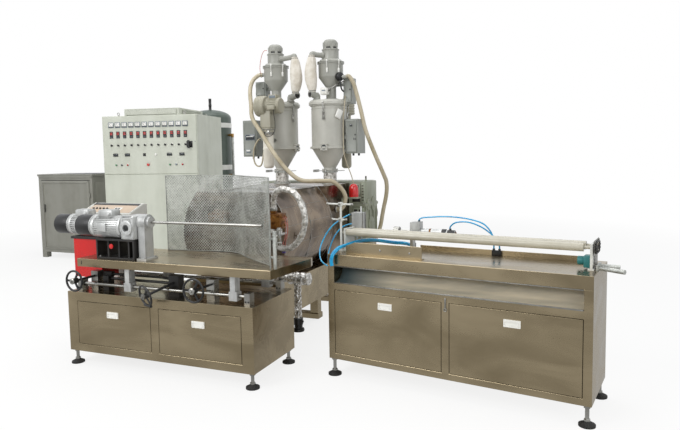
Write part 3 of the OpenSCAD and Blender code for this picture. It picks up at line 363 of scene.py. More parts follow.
# enamels, moulded plastics and rubber: name, clean colour, dusty colour, roughness, and what differs from the rest
coats = {
    "control_enamel": ("paleTexturedEnamel", "#c9ccbf", "#bcbfb1", 0.42, {}),
    "side_enamel": ("greySatinEnamel", "#8d8c83", "#7f7e74", 0.4, {}),
    "tank_enamel": ("greenGreyEnamel", "#465249", "#5d675f", 0.36, {}),
    "grey_enamel": ("hopperGreyEnamel", "#a3a39b", "#93938b", 0.34, {}),
    "dryerBody": ("dryerBodyEnamel", "#c2c1b8", "#afaea5", 0.34, {}),
    "boxGrey": ("boxGreyEnamel", "#92958e", "#838680", 0.36, {}),
    "cream_enamel": ("creamEnamel", "#aaa695", "#979381", 0.38, {}),
    "creamTube": ("creamTubeEnamel", "#ece7da", "#dad4c4", 0.4, {}),
    "green_enamel": ("greenGreyMachineEnamel", "#8f937f", "#7b7f6d", 0.4, {}),
    "paleGreenBox": ("paleGreenBox", "#a3ab97", "#8b9280", 0.4, {}),
    "white_enamel": ("whiteEnamel", "#e0e0da", "#cfcfc8", 0.32, {}),
    "tealPaint": ("tealEnamel", "#2d7f80", "#25696b", 0.4, {}),
    "red_paint": ("redEnamel", "#cf0d0a", "#a80d0a", 0.25, {"coat": 0.3}),
    "black_steel": ("blackEnamel", "#171615", "#2f2c29", 0.35, {"cloud": 120}),
    "brownMotor": ("brownGreyMotor", "#6a6256", "#514b41", 0.45, {"cloud": 160}),
    "roller_sleeve": ("creamRollerSleeve", "#bfbaa9", "#a29c89", 0.3, {"coat": 0.3}),
    "black_plastic": ("blackMouldedPlastic", "#131313", "#232322", 0.38, {}),
    "white_plastic": ("whiteMouldedPlastic", "#eeede8", "#dfded6", 0.3, {}),
    "hose_plastic": ("ribbedHosePlastic", "#bfb49a", "#a39779", 0.42, {"cloud": 160, "coat": 0.2}),
    "violetPlug": ("violetPlastic", "#5a4a9e", "#44387c", 0.35, {}),
    "darkGlass": ("darkDisplay", "#1d2326", "#2a3236", 0.12, {"coat": 0.6}),
    "blueGrey": ("blueGreyBezel", "#7d8790", "#6c757d", 0.4, {}),
    "beigePanel": ("beigePanel", "#c9b49e", "#b8a48f", 0.5, {}),
    "rubber": ("blackRubber", "#181817", "#2e2c29", 0.7, {"cloud": 90}),
    "pinkWire": ("pinkSilicone", "#cf7f74", "#b5665c", 0.5, {}),
}
for finish, (name, colour, dusty, rough, others) in coats.items():
    finishes[finish] = sprayedEnamel(name, {"colour": colour, "dusty": dusty, "rough": rough, **others})

for subpart in frame["record"]["subparts"]:
    for slot in frame["nodes"][subpart["node"]].material_slots:
        slot.material = finishes[subpart["material_slot"]]
ownFinishes = {"cutter_chute": "troughSheetPaintedLight", "barrel_housing": "drumSheet", "dryer_left": "dryerBody",
               "dryer_right": "dryerBody", "dryer_controls": "boxGrey"}
for name, finish in ownFinishes.items():
    frame["nodes"][name].material_slots[0].material = finishes[finish]
print("materials: every node has its finish")


# leaves one piece selected and active
def chooseOnly(piece):
    bpy.ops.object.select_all(action="DESELECT")
    piece.select_set(True)
    bpy.context.view_layer.objects.active = piece


def enterEdit(action):
    bpy.ops.object.mode_set(mode="EDIT")
    bpy.ops.mesh.select_mode(type="FACE")
    bpy.ops.mesh.select_all(action=action)


def leaveEdit():
    bpy.ops.object.mode_set(mode="OBJECT")


# leaves only the faces that pass the test selected, in edit mode
def pickFaces(piece, test):
    chooseOnly(piece)
    enterEdit("DESELECT")
    leaveEdit()
    for face in piece.data.polygons:
        face.select = test(face.center, face.normal)
    bpy.ops.object.mode_set(mode="EDIT")


# draws the faces that pass the test in by a rim and moves them, as a sunk panel, a raised lid or a bore
def sinkFaces(piece, test, rim, *move):
    pickFaces(piece, test)
    bpy.ops.mesh.inset(thickness=rim)
    bpy.ops.mesh.extrude_region_move(TRANSFORM_OT_translate={"value": move})
    leaveEdit()


# raises every second strip of a motor's round side as a cooling fin; a is the axis that the motor lies along
def raiseFins(body, middle, sides, grow, a=0):
    b = 1 - a
    pickFaces(body, lambda c, n: abs(n[a]) < 0.3 and round(
        math.atan2(c.z - middle[2], c[b] - middle[b])/math.pi*sides/2 - 0.5) % 2 == 0)
    bpy.ops.mesh.extrude_faces_move()
    value = [grow, grow, grow]
    value[a] = 1
    bpy.ops.transform.resize(value=value, center_override=middle)
    leaveEdit()


def facesOut():
    enterEdit("SELECT")
    bpy.ops.mesh.normals_make_consistent(inside=False)
    leaveEdit()


def thicken(piece, wall):
    bpy.ops.object.modifier_add(type="SOLIDIFY")
    piece.modifiers[-1].thickness = wall
    bpy.ops.object.modifier_apply(modifier=piece.modifiers[-1].name)


# a box between two corners with its place in its mesh, edges rounded by bevel
def addBox(low, high, round=0.0):
    size = [b - a for a, b in zip(low, high)]
    middle = [(a + b)/2 for a, b in zip(low, high)]
    bpy.ops.mesh.primitive_cube_add(size=1, location=middle, scale=size)
    bpy.ops.object.transform_apply(location=True, rotation=True, scale=True)
    piece = bpy.context.object
    if round:
        bpy.ops.object.mode_set(mode="EDIT")
        bpy.ops.mesh.bevel(offset=round, segments=2, affect="EDGES")
        leaveEdit()
    return piece


# a bar between two points, its ends chamfered
def addBar(a, b, radius, sides=24, chamfer=0.0, topRadius=None):
    a, b = Vector(a), Vector(b)
    turn = (b - a).to_track_quat("Z", "Y").to_euler()
    top = radius if topRadius is None else topRadius
    bpy.ops.mesh.primitive_cone_add(vertices=sides, radius1=radius, radius2=top, depth=(b - a).length,
                                    location=(a + b)/2, rotation=turn)
    bpy.ops.object.transform_apply(location=True, rotation=True, scale=True)
    piece = bpy.context.object
    if chamfer:
        way = (b - a).normalized()
        pickFaces(piece, lambda c, n: abs(n.dot(way)) > 0.9)
        bpy.ops.mesh.bevel(offset=chamfer, segments=2, affect="EDGES")
        leaveEdit()
    return piece


def addRing(middle, radius, thick, steps=40, sides=10, way=(0, 0, 1)):
    turn = Vector(way).to_track_quat("Z", "Y").to_euler()
    bpy.ops.mesh.primitive_torus_add(location=middle, rotation=turn, major_radius=radius, minor_radius=thick,
                                     major_segments=steps, minor_segments=sides)
    bpy.ops.object.transform_apply(location=True, rotation=True, scale=True)
    return bpy.context.object


# a turned piece: a disc drawn up step by step through a profile of radius and height
def addTurned(profile, at=(0, 0, 0), way=(0, 0, 1), steps=48):
    radius, height = profile[0]
    bpy.ops.mesh.primitive_circle_add(vertices=steps, radius=radius, fill_type="NGON", location=(0, 0, height))
    bpy.ops.object.transform_apply(location=True)
    piece = bpy.context.object
    enterEdit("SELECT")
    for nextRadius, nextHeight in profile[1:]:
        bpy.ops.mesh.extrude_region_move(TRANSFORM_OT_translate={"value": (0, 0, nextHeight - height)})
        grow = nextRadius/radius
        bpy.ops.transform.resize(value=(grow, grow, 1), center_override=(0, 0, nextHeight))
        radius, height = nextRadius, nextHeight
    leaveEdit()
    facesOut()
    piece.data.transform(Matrix.Translation(at) @ Vector(way).to_track_quat("Z", "Y").to_matrix().to_4x4())
    return piece


# hexagon bolt head with its washer, seated at a place and pointing along a way
def addBolt(at, size, way=(0, 0, 1)):
    at, way = Vector(at), Vector(way).normalized()
    washer = addBar(at, at + way*size*0.16, size*0.72, 16)
    head = addBar(at + way*size*0.1, at + way*size*0.62, size*0.5, 6, size*0.07)
    return [washer, head]


def addBolts(places, size, way=(0, 0, 1)):
    return [part for at in places for part in addBolt(at, size, way)]


# a place on a circle round an axis through the middle
def onCircle(middle, radius, degrees, axis="Z"):
    a, b = radius*math.cos(math.radians(degrees)), radius*math.sin(math.radians(degrees))
    return Vector(middle) + Vector({"X": (0, a, b), "Y": (a, 0, b), "Z": (a, b, 0)}[axis])


def turnAbout(middle, degrees):
    return Matrix.Translation(middle) @ Matrix.Rotation(math.radians(degrees), 4, "Z") @ Matrix.Translation(
        -Vector(middle))


# copies of one piece, each with its own mesh and move
def repeatPiece(piece, moves):
    copies = [piece]
    for move in moves:
        new = piece.copy()
        new.data = piece.data.copy()
        new.data.transform(move)
        bpy.context.collection.objects.link(new)
        copies.append(new)
    return copies


# joins the parts of a piece, rounds its edges, gives it its finish, the slot's own where no other is named, and its
# place, and sets it on its body
def finishPiece(name, parts, slotName, finish=None, place=None, body="root", round=0.0, smooth=35):
    chooseOnly(parts[0])
    if len(parts) > 1:
        for part in parts:
            part.select_set(True)
        bpy.ops.object.join()
    piece = bpy.context.object
    piece.name = name
    piece.data.name = name
    if place:
        piece.data.transform(place)
    if round:
        bpy.ops.object.modifier_add(type="BEVEL")
        edge = piece.modifiers[-1]
        edge.width = round
        edge.segments = 2
        edge.limit_method = "ANGLE"
        edge.angle_limit = math.radians(50)
        bpy.ops.object.modifier_apply(modifier=edge.name)
    bpy.ops.object.shade_smooth_by_angle(angle=math.radians(smooth))
    piece.data.materials.clear()
    piece.data.materials.append(finishes[finish or slotName])
    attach(piece, body)
    return piece


# a smooth line through chosen points, the same one that the solids follow
def smoothLine(route, steps):
    p = [Vector(q) for q in route]
    line = []
    for i in range(len(p) - 1):
        a, b, c, d = p[max(i - 1, 0)], p[i], p[i + 1], p[min(i + 2, len(p) - 1)]
        for k in range(steps):
            t = k/steps
            line.append(0.5*(2*b + (c - a)*t + (2*a - 5*b + 4*c - d)*t*t + (3*b - a - 3*c + d)*t*t*t))
    return line + [p[-1]]


# even steps along a line
def evenLine(line, step):
    lengths = [0.0]
    for a, b in zip(line, line[1:]):
        lengths.append(lengths[-1] + (b - a).length)
    count = max(2, int(round(lengths[-1]/step)))
    points, i = [], 0
    for k in range(count + 1):
        at = lengths[-1]*k/count
        while i < len(line) - 2 and lengths[i + 1] < at:
            i += 1
        share = (at - lengths[i])/(lengths[i + 1] - lengths[i])
        points.append(line[i].lerp(line[i + 1], min(1, share)))
    return points, lengths[-1]


# a round tube along points, its ends closed
def addTube(points, radius, sides, swell=None):
    data = bpy.data.curves.new("tube", "CURVE")
    data.dimensions = "3D"
    data.bevel_depth = radius
    data.bevel_resolution = sides
    data.use_fill_caps = True
    spline = data.splines.new("POLY")
    spline.points.add(len(points) - 1)
    for i, q in enumerate(points):
        spline.points[i].co = (*q, 1)
        spline.points[i].radius = swell(i, q) if swell else 1
    curve = bpy.data.objects.new("tube", data)
    bpy.context.collection.objects.link(curve)
    chooseOnly(curve)
    bpy.ops.object.convert(target="MESH")
    return bpy.context.object


# a bent pipe through points in metres
def addPipe(route, radius, step=0.01, sides=8):
    return addTube(evenLine(smoothLine(route, 8), step)[0], radius, sides)


# a free hose or cord along a route in millimetres; ribs or turns of tape swell it along its length
def sweepHose(name, route, s, slotName, finish=None, place=None):
    points, length = evenLine([q/1000 for q in smoothLine(route, 8)], s["step"])
    if place:
        points = [place @ q for q in points]
    tube = addTube(points, s["diameter"]/2, s.get("sides", 3), lambda i, q: 1 - s.get("rib", 0)*(
        0.5 - 0.5*math.cos(math.pi*i)) + s.get("lump", 0)*noise.noise(q*1000/s.get("lumpSize", 30)))
    piece = finishPiece(name, [tube], slotName, finish, smooth=s.get("smooth", 60))
    tuple(points[0])
    [tuple(q) for q in points]
    return piece


def turned(degrees, at):
    return Matrix.Translation(at) @ Matrix.Rotation(math.radians(degrees), 4, "Z")


cutterPlace = turned(-9.137, (1.083, -0.614, 0))
controlPlace = turned(12.4, (-3.41, 2.054, 0))

# perforated zinc sheet, bent along its path and a little crumpled
guardSettings = {
    "path": [(-337, -530), (-160, -508), (20, -485), (204, -473), (330, -535), (430, -630), (526, -705), (640, -790),
             (740, -862), (812, -935), (850, -1014)],
    "low": 0.81, "height": 0.595, "pitch": 0.0155, "web": 0.0058, "sheet": 0.0012, "wire": 0.0022, "crumple": 0.006,
    "post": (0.874, -0.99), "postHeight": 0.25,
}


def makeGuard(s):
    line, length = evenLine([Vector((x, y, 0))/1000 for x, y, z in smoothLine([(*p, 0) for p in s["path"]], 8)], 0.01)
    cells = int(length/s["pitch"]*1.1)
    bpy.ops.mesh.primitive_grid_add(x_subdivisions=cells, y_subdivisions=cells, size=cells*s["pitch"],
                                    rotation=(0, 0, math.radians(45)))
    bpy.ops.object.transform_apply(rotation=True)
    sheet = bpy.context.object
    bpy.ops.object.mode_set(mode="EDIT")
    for way, at in (((1, 0, 0), length/2), ((-1, 0, 0), length/2), ((0, 1, 0), s["height"]/2),
                    ((0, -1, 0), s["height"]/2)):
        bpy.ops.mesh.select_all(action="SELECT")
        bpy.ops.mesh.bisect(plane_co=[c*at for c in way], plane_no=way, clear_outer=True)
    bpy.ops.mesh.select_all(action="SELECT")
    bpy.ops.mesh.inset(use_individual=True, thickness=s["web"]/2, use_even_offset=True)
    bpy.ops.mesh.delete(type="FACE")
    leaveEdit()
    count = len(line) - 1
    for vertex in sheet.data.vertices:
        share = min(max(vertex.co.x/length + 0.5, 0), 1)*count
        i = min(int(share), count - 1)
        at = line[i].lerp(line[i + 1], share - i)
        way = (line[i + 1] - line[i]).normalized()
        side = Vector((-way.y, way.x, 0))
        z = vertex.co.y + s["height"]/2 + s["low"]
        edge = min(1.0, (z - s["low"])/0.1)
        off = noise.noise(Vector((vertex.co.x*5, vertex.co.y*5, 0.3)))*s["crumple"]*edge
        vertex.co = at + side*(0.0015 + off) + Vector((0, 0, z))
    thicken(sheet, s["sheet"])
    guard = finishPiece("guard_sheet", [sheet], "galvanised", body="table")
    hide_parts("mesh_guard")
    low, high, wire = Vector((0, 0, s["low"])), Vector((0, 0, s["low"] + s["height"])), s["wire"]
    parts = []
    for z in (low.z + wire*1.8, high.z - wire*1.8):
        rim = [q + Vector((0, 0, z)) for q in line]
        parts += [addBar(a, b, wire, 6) for a, b in zip(rim[::6], rim[6::6] + [rim[-1]])]
    x, y = s["post"]
    parts += [addBar(q + low, q + high, wire, 6) for q in (line[0], line[-1])]
    finishPiece("guard_rim", parts, "galvanised", body="table")
    post = [addBar((x, y, s["low"]), (x, y, s["low"] + s["postHeight"]), 0.013, 24, 0.003)]
    for z in (0.07, 0.19):
        post.append(addBox((x - 0.036, y - 0.008, s["low"] + z), (x - 0.004, y + 0.008, s["low"] + z + 0.014), 0.003))
    finishPiece("guard_post", post, "galvanised", body="table")


makeGuard(guardSettings)
print("guard: perforated sheet, rim and post")

# gear motors: finned body, terminal box, cowl with its grille, and the worm gearbox with its hub
driveSettings = {
    "front": (-0.37, -0.93, 1.045), "rear": (-0.81, -0.72, 1.02), "motorLength": 0.29, "bodyRadius": 0.071,
    "finRadius": 0.081, "adaptor": 0.044, "fanLength": 0.15, "fanRadius": 0.079, "boxWidth": 0.118, "boxHeight": 0.172,
    "hub": 0.054, "bore": 0.026,
}


def makeDrive(label, at, s):
    x, y, z = at
    back = x - s["motorLength"]
    body = addBar((back, y, z), (x - s["adaptor"], y, z), s["bodyRadius"], 64)
    raiseFins(body, at, 64, s["finRadius"]/s["bodyRadius"])
    lid = addBox((back + 0.05, y - 0.046, z + 0.07), (x - 0.11, y + 0.046, z + 0.118), 0.006)
    sinkFaces(lid, lambda c, n: n.z > 0.9, 0.006, 0, 0, 0.004)
    parts = [body, lid, addBar((x - s["adaptor"], y, z), (x - 0.02, y, z), 0.084, 48, 0.003),
             addBar((x - 0.02, y, z), (x, y, z), 0.062, 32),
             addBar((back - 0.006, y, z), (back + 0.022, y, z), 0.082, 48, 0.003),
             addBar((x - 0.13, y - 0.046, z + 0.09), (x - 0.13, y - 0.07, z + 0.09), 0.012, 12, 0.002),
             addBox((back + 0.07, y - 0.085, z - 0.03), (back + 0.15, y - 0.079, z + 0.03), 0.002)]
    ends = [onCircle((x - s["adaptor"], y, z), 0.076, d, "X") for d in (45, 135, 225, 315)]
    parts += addBolts(ends, 0.014, (-1, 0, 0))
    parts += addBolts([(a, y + b, z + 0.118) for a in (back + 0.06, x - 0.12) for b in (-0.036, 0.036)], 0.007)
    half = s["boxHeight"]/2
    gear = addBox((x, y - half, z - half), (x + s["boxWidth"], y + half, z + half), 0.012)
    pickFaces(gear, lambda c, n: abs(n.y) > 0.9 or n.z > 0.9)
    bpy.ops.mesh.inset(use_individual=True, thickness=0.01)
    bpy.ops.mesh.extrude_faces_move()
    bpy.ops.transform.resize(value=(1, 0.965, 0.985), center_override=(0, y, z))
    leaveEdit()
    parts.append(gear)
    hubX = x + s["boxWidth"]/2
    for side in (-1, 1):
        face = y + side*half
        ring = addBar((hubX, face - side*0.006, z), (hubX, face + side*0.014, z), s["hub"], 40, 0.003)
        sinkFaces(ring, lambda c, n: n.y*side > 0.9 and (c - Vector((hubX, c.y, z))).length < 0.03,
                  s["hub"] - s["bore"] - 0.004, 0, -side*0.03, 0)
        parts.append(ring)
        ends = [onCircle((hubX, face + side*0.014, z), 0.044, d, "Y") for d in range(30, 390, 60)]
        parts += addBolts(ends, 0.008, (0, side, 0))
    motor = finishPiece("gear_motor_" + label, parts, "cast_aluminium", body="table", round=0.0008)
    cowl = addBar((back - s["fanLength"], y, z), (back - 0.004, y, z), s["fanRadius"], 48)
    pickFaces(cowl, lambda c, n: n.x < -0.9)
    bpy.ops.mesh.inset(thickness=0.012)
    bpy.ops.mesh.extrude_region_move(TRANSFORM_OT_translate={"value": (-0.008, 0, 0)})
    bpy.ops.mesh.inset(thickness=0.012)
    bpy.ops.mesh.extrude_region_move(TRANSFORM_OT_translate={"value": (0.012, 0, 0)})
    leaveEdit()
    grille = [cowl]
    mouth = back - s["fanLength"]
    for radius in (0.02, 0.032, 0.044):
        grille.append(addRing((mouth - 0.004, y, z), radius, 0.0018, 32, 6, (1, 0, 0)))
    for d in (0, 45, 90, 135):
        grille.append(addBar(onCircle((mouth - 0.003, y, z), -0.055, d, "X"),
                             onCircle((mouth - 0.003, y, z), 0.055, d, "X"), 0.0018, 6))
    fan = finishPiece("fan_cowl_" + label, grille, "black_plastic", body="table", round=0.002)
    shroud = addRing((back - 0.012, y, z), s["fanRadius"] + 0.001, 0.0035, 48, 8, (1, 0, 0))
    finishPiece("cowl_band_" + label, [shroud], "cast_aluminium", body="table")
    # a black disc deep in the hollow hub is painted shade in the bore
    dark = addBar((hubX, y - half + 0.004, z), (hubX, y - half - 0.008, z), 0.021, 32, 0.002)
    finishPiece("hub_bore_shade_" + label, [dark], "black_plastic", body="table")
    return motor, fan


frontMotor, frontFan = makeDrive("front", driveSettings["front"], driveSettings)
makeDrive("rear", driveSettings["rear"], driveSettings)
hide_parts("gear_motors", "gearboxes")
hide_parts("fan_covers")
print("drive: two gear motors with cowls")

# twelve instrument columns on the control cabinet's upper cover, and the switches under them
panelSettings = {
    "first": 0.138, "pitch": 0.0976, "columns": 12, "skin": -0.012, "meterHeight": 1.99, "controllerHeight": 1.856,
    "knobHeight": 1.715, "displayHeight": 1.583, "buttonHeight": 1.447, "displays": (0.188, 0.361, 0.973, 1.152),
    "selector": 0.611, "dial": 0.778,
    "buttons": ((0.192, "greenButton", 0.011), (0.274, "darkGlass", 0.011), (0.362, "redButton", 0.011),
                (0.663, "redButton", 0.019), (0.978, "greenButton", 0.011), (1.068, "blueGrey", 0.011),
                (1.157, "redButton", 0.011)),
}


# square instrument case with a sunk face
def addCase(x, z, wide, high, proud, rim, sunk):
    skin = panelSettings["skin"]
    case = addBox((x - wide/2, skin - proud, z - high/2), (x + wide/2, skin, z + high/2), 0.003)
    sinkFaces(case, lambda c, n: n.y < -0.9, rim, 0, sunk, 0)
    return case


def addPlate(x, z, wide, high, y, thick=0.001):
    return addBox((x - wide/2, y - thick, z - high/2), (x + wide/2, y, z + high/2), thick*0.3)


def makeInstruments(s):
    def finish(name, parts, finishName=None):
        return finishPiece(name, parts, "black_plastic", finishName, controlPlace)

    columns = [s["first"] + i*s["pitch"] for i in range(s["columns"])]
    steps = [Matrix.Translation((x - columns[0], 0, 0)) for x in columns[1:]]
    x0, skin = columns[0], s["skin"]
    z = s["meterHeight"]
    cases = finish("meter_cases", repeatPiece(addCase(x0, z, 0.078, 0.074, 0.01, 0.006, 0.004), steps), "blueGrey")
    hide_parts("panel_instruments")
    faces = repeatPiece(addPlate(x0, z + 0.006, 0.064, 0.048, skin - 0.006), steps)
    finish("meter_faces", faces, "white_plastic")
    marks = []
    for i, x in enumerate(columns):
        for k in range(7):
            a = math.radians(140 - k*100/6)
            marks.append(addPlate(x + 0.026*math.cos(a), z - 0.012 + 0.036*math.sin(a), 0.002, 0.006, skin - 0.0068))
        tilt = math.radians(128 - (i*37 % 30))  # each needle stands a little differently
        tip = (x + 0.03*math.cos(tilt), skin - 0.0075, z - 0.014 + 0.036*math.sin(tilt))
        marks += [addBar((x, skin - 0.0075, z - 0.014), tip, 0.0012, 6),
                  addPlate(x, z - 0.026, 0.066, 0.012, skin - 0.0065)]
    finish("meter_marks", marks)
    z = s["controllerHeight"]
    finish("controller_cases", repeatPiece(addCase(x0, z, 0.048, 0.092, 0.008, 0.003, 0.0015), steps))
    rows, keys = [], []
    for x in columns:
        rows += [addPlate(x, z + 0.026, 0.036, 0.014, skin - 0.007), addPlate(x, z + 0.006, 0.036, 0.012, skin - 0.007)]
        keys += [addPlate(x + dx, z - 0.03, 0.006, 0.006, skin - 0.0068) for dx in (-0.012, -0.004, 0.004, 0.012)]
    finish("controller_rows", rows, "redButton")
    finish("controller_keys", keys, "blueGrey")
    z = s["knobHeight"]
    rings = repeatPiece(addBar((x0, skin, z), (x0, skin - 0.004, z), 0.017, 24, 0.001), steps)
    finish("knob_rings", rings, "bright_steel")
    knobs = repeatPiece(addBar((x0, skin - 0.003, z), (x0, skin - 0.022, z), 0.012, 20, 0.002), steps)
    grip = addBox((x0 - 0.0035, skin - 0.026, z - 0.014), (x0 + 0.0035, skin - 0.012, z + 0.014), 0.001)
    finish("selector_knobs", knobs + repeatPiece(grip, steps))
    z = s["displayHeight"]
    screens = [addCase(x, z, 0.072, 0.04, 0.008, 0.004, 0.003) for x in s["displays"]]
    finish("display_cases", screens + [addCase(s["selector"], z, 0.04, 0.04, 0.006, 0.004, 0.003)])
    finish("display_windows", [addPlate(x, z + 0.002, 0.058, 0.022, skin - 0.0055) for x in s["displays"]], "darkGlass")
    x = s["dial"]
    finish("speed_dial", [addBar((x, skin, z), (x, skin - 0.012, z), 0.016, 28, 0.002),
                          addBox((x - 0.003, skin - 0.018, z - 0.012), (x + 0.003, skin - 0.01, z + 0.012), 0.001)],
           "white_plastic")
    z = s["buttonHeight"]
    rings = [addBar((x, skin, z), (x, skin - 0.005, z), 0.016, 24, 0.001) for x, tint, radius in s["buttons"]]
    finish("button_rings", rings, "bright_steel")
    for i, (x, tint, radius) in enumerate(s["buttons"]):
        cap = addBar((x, skin - 0.004, z), (x, skin - 0.016, z), radius, 24, 0.002)
        finish("button_%d" % (i + 1), [cap], tint)
    finish("isolator_plate", [addPlate(1.265, 1.712, 0.086, 0.086, skin)])


makeInstruments(panelSettings)
print("control cabinet: meters, controllers, knobs, displays and buttons")

# trim of the control cabinet: louvres on the vent box, lifting eyes and cover bolts
cabinetSettings = {"width": 1.375, "depth": 0.885, "top": 2.112, "vent": (0.323, 1.117), "ventLow": 2.128,
                   "ventHigh": 2.19, "slats": 5}


def makeCabinetTrim(s):
    slats = []
    x0, x1 = s["vent"]
    low, high = s["ventLow"], s["ventHigh"]
    rise = (high - low)/s["slats"]
    for k in range(s["slats"]):
        z = low + (k + 0.5)*rise
        slat = addBox((x0 + 0.04, 0.004, z - 0.004), (x1 - 0.04, 0.019, z + 0.003), 0.001)
        pickFaces(slat, lambda c, n: n.y < -0.9)
        bpy.ops.transform.translate(value=(0, 0, -0.005))
        leaveEdit()
        slats += [slat, addBox((x1 + 0.001, 0.12, z - 0.004), (x1 + 0.014, s["depth"] - 0.14, z + 0.003), 0.001)]
    slats += [addBox((x, 0.004, low - 0.006), (x + 0.008, 0.02, high + 0.006), 0.001) for x in (x0 + 0.036, x1 - 0.044)]
    finishPiece("vent_louvres", slats, "control_enamel", place=controlPlace)
    dark = addBox((x0 + 0.04, 0.017, low), (x1 - 0.04, 0.0195, high), 0.0005)
    finishPiece("vent_shadow", [dark], "control_enamel", "black_steel", controlPlace)
    bolts = addBolts([(s["width"] - 0.03, -0.012, z) for z in (0.7, 1.75)], 0.01, (0, -1, 0))
    for x in (0.215, s["width"] - 0.2):
        for y in (0.06, s["depth"] - 0.08):
            bolts += [addBar((x, y, s["top"]), (x, y, s["top"] + 0.014), 0.012, 16, 0.002),
                      addRing((x, y, s["top"] + 0.032), 0.016, 0.005, 28, 10, (0, 1, 0))]
    finishPiece("lifting_eyes", bolts, "control_enamel", "bright_steel", controlPlace)


makeCabinetTrim(cabinetSettings)

# hoses that follow the same lines as their solids, in millimetres
hoseLines = {
    "air": [(460, -230, 1114.5), (460, -230, 1160), (486, -264, 1232), (540, -300, 1276), (604, -320, 1290),
            (706, -340, 1256), (763, -345, 1165), (786, -345, 1065), (767, -340, 972), (723, -325, 900),
            (653, -300, 843), (582, -268, 822), (500, -220, 820), (440, -180, 824), (420, -140, 826),
            (420, -101, 826)],
    "left": [(-450.5, 1280, 2397.4), (-500, 1280, 2397.4), (-548, 1235, 2340), (-540, 1160, 2230), (-480, 1070, 2060),
             (-420, 985, 1930), (-302, 930, 1790), (-125, 880, 1567), (24, 870, 1400), (166, 885, 1300),
             (353, 960, 1290), (442, 1010, 1282), (512, 1060, 1215), (545, 1090, 1130), (525, 1100, 1045),
             (490, 1100, 1004), (446, 1100, 1000)],
    "right": [(508.5, 1280, 2321.4), (532, 1280, 2321.4), (566, 1300, 2262), (588, 1322, 2170), (626, 1340, 2000),
              (674, 1350, 1786), (749, 1380, 1567), (830, 1450, 1328), (840, 1500, 1250), (823, 1550, 1130),
              (770, 1600, 953), (721, 1640, 770), (670, 1650, 650), (600, 1650, 596), (530, 1650, 590),
              (460, 1650, 590)],
    "bundle": [(418, 500, 878), (390, 498, 884), (340, 494, 890), (294, 478, 892), (248, 446, 900), (196, 400, 912),
               (148, 340, 920), (116, 270, 922), (98, 190, 918), (88, 110, 912), (76, 38, 904), (60, -20, 870),
               (50, -32, 822), (54, -30, 786)],
    "arc": [(520, 390, 1068.2), (520, 390, 1082), (548, 390, 1096), (620, 390, 1104), (700, 390, 1110),
            (790, 390, 1110), (891, 390, 1099), (977, 396, 1073), (1024, 408, 1022), (1040, 420, 965),
            (1042, 422, 925), (1042, 422, 896)],
    "branch": [(750, 390, 1018.4), (750, 390, 1042), (800, 366, 1076), (887, 366, 1082), (972, 378, 1052),
               (1040, 396, 1000), (1072, 412, 950), (1080, 420, 925), (1080, 422, 896)],
    "high": [(21.5, 310, 1105), (0, 310, 1105), (-60, 292, 1071), (-126, 262, 1016), (-166, 222, 938),
             (-160, 150, 862), (-110, 80, 800), (-40, 45, 770), (-0.5, 45, 770)],
    "low": [(21.5, 344, 1034), (0, 344, 1034), (-70, 330, 1010), (-120, 300, 948), (-136, 252, 864),
            (-104, 170, 800), (-40, 115, 760), (-0.5, 115, 760)],
}
# real diameters in metres; the step sets how close the ribs, or the turns of tape, lie
hoseKinds = {
    "taped": {"diameter": 0.048, "step": 0.009, "rib": 0.05, "lump": 0.16, "lumpSize": 34, "sides": 7, "smooth": 25},
    "ribbed": {"diameter": 0.044, "step": 0.0065, "rib": 0.09, "sides": 5},
    "airLine": {"diameter": 0.01, "step": 0.012},
    "bundle": {"diameter": 0.0085, "step": 0.012},
    "cable": {"diameter": 0.006, "step": 0.012},
    "signal": {"diameter": 0.009, "step": 0.012},
    "drain": {"diameter": 0.016, "step": 0.012, "sides": 4},
    "lead": {"diameter": 0.0045, "step": 0.008},
}


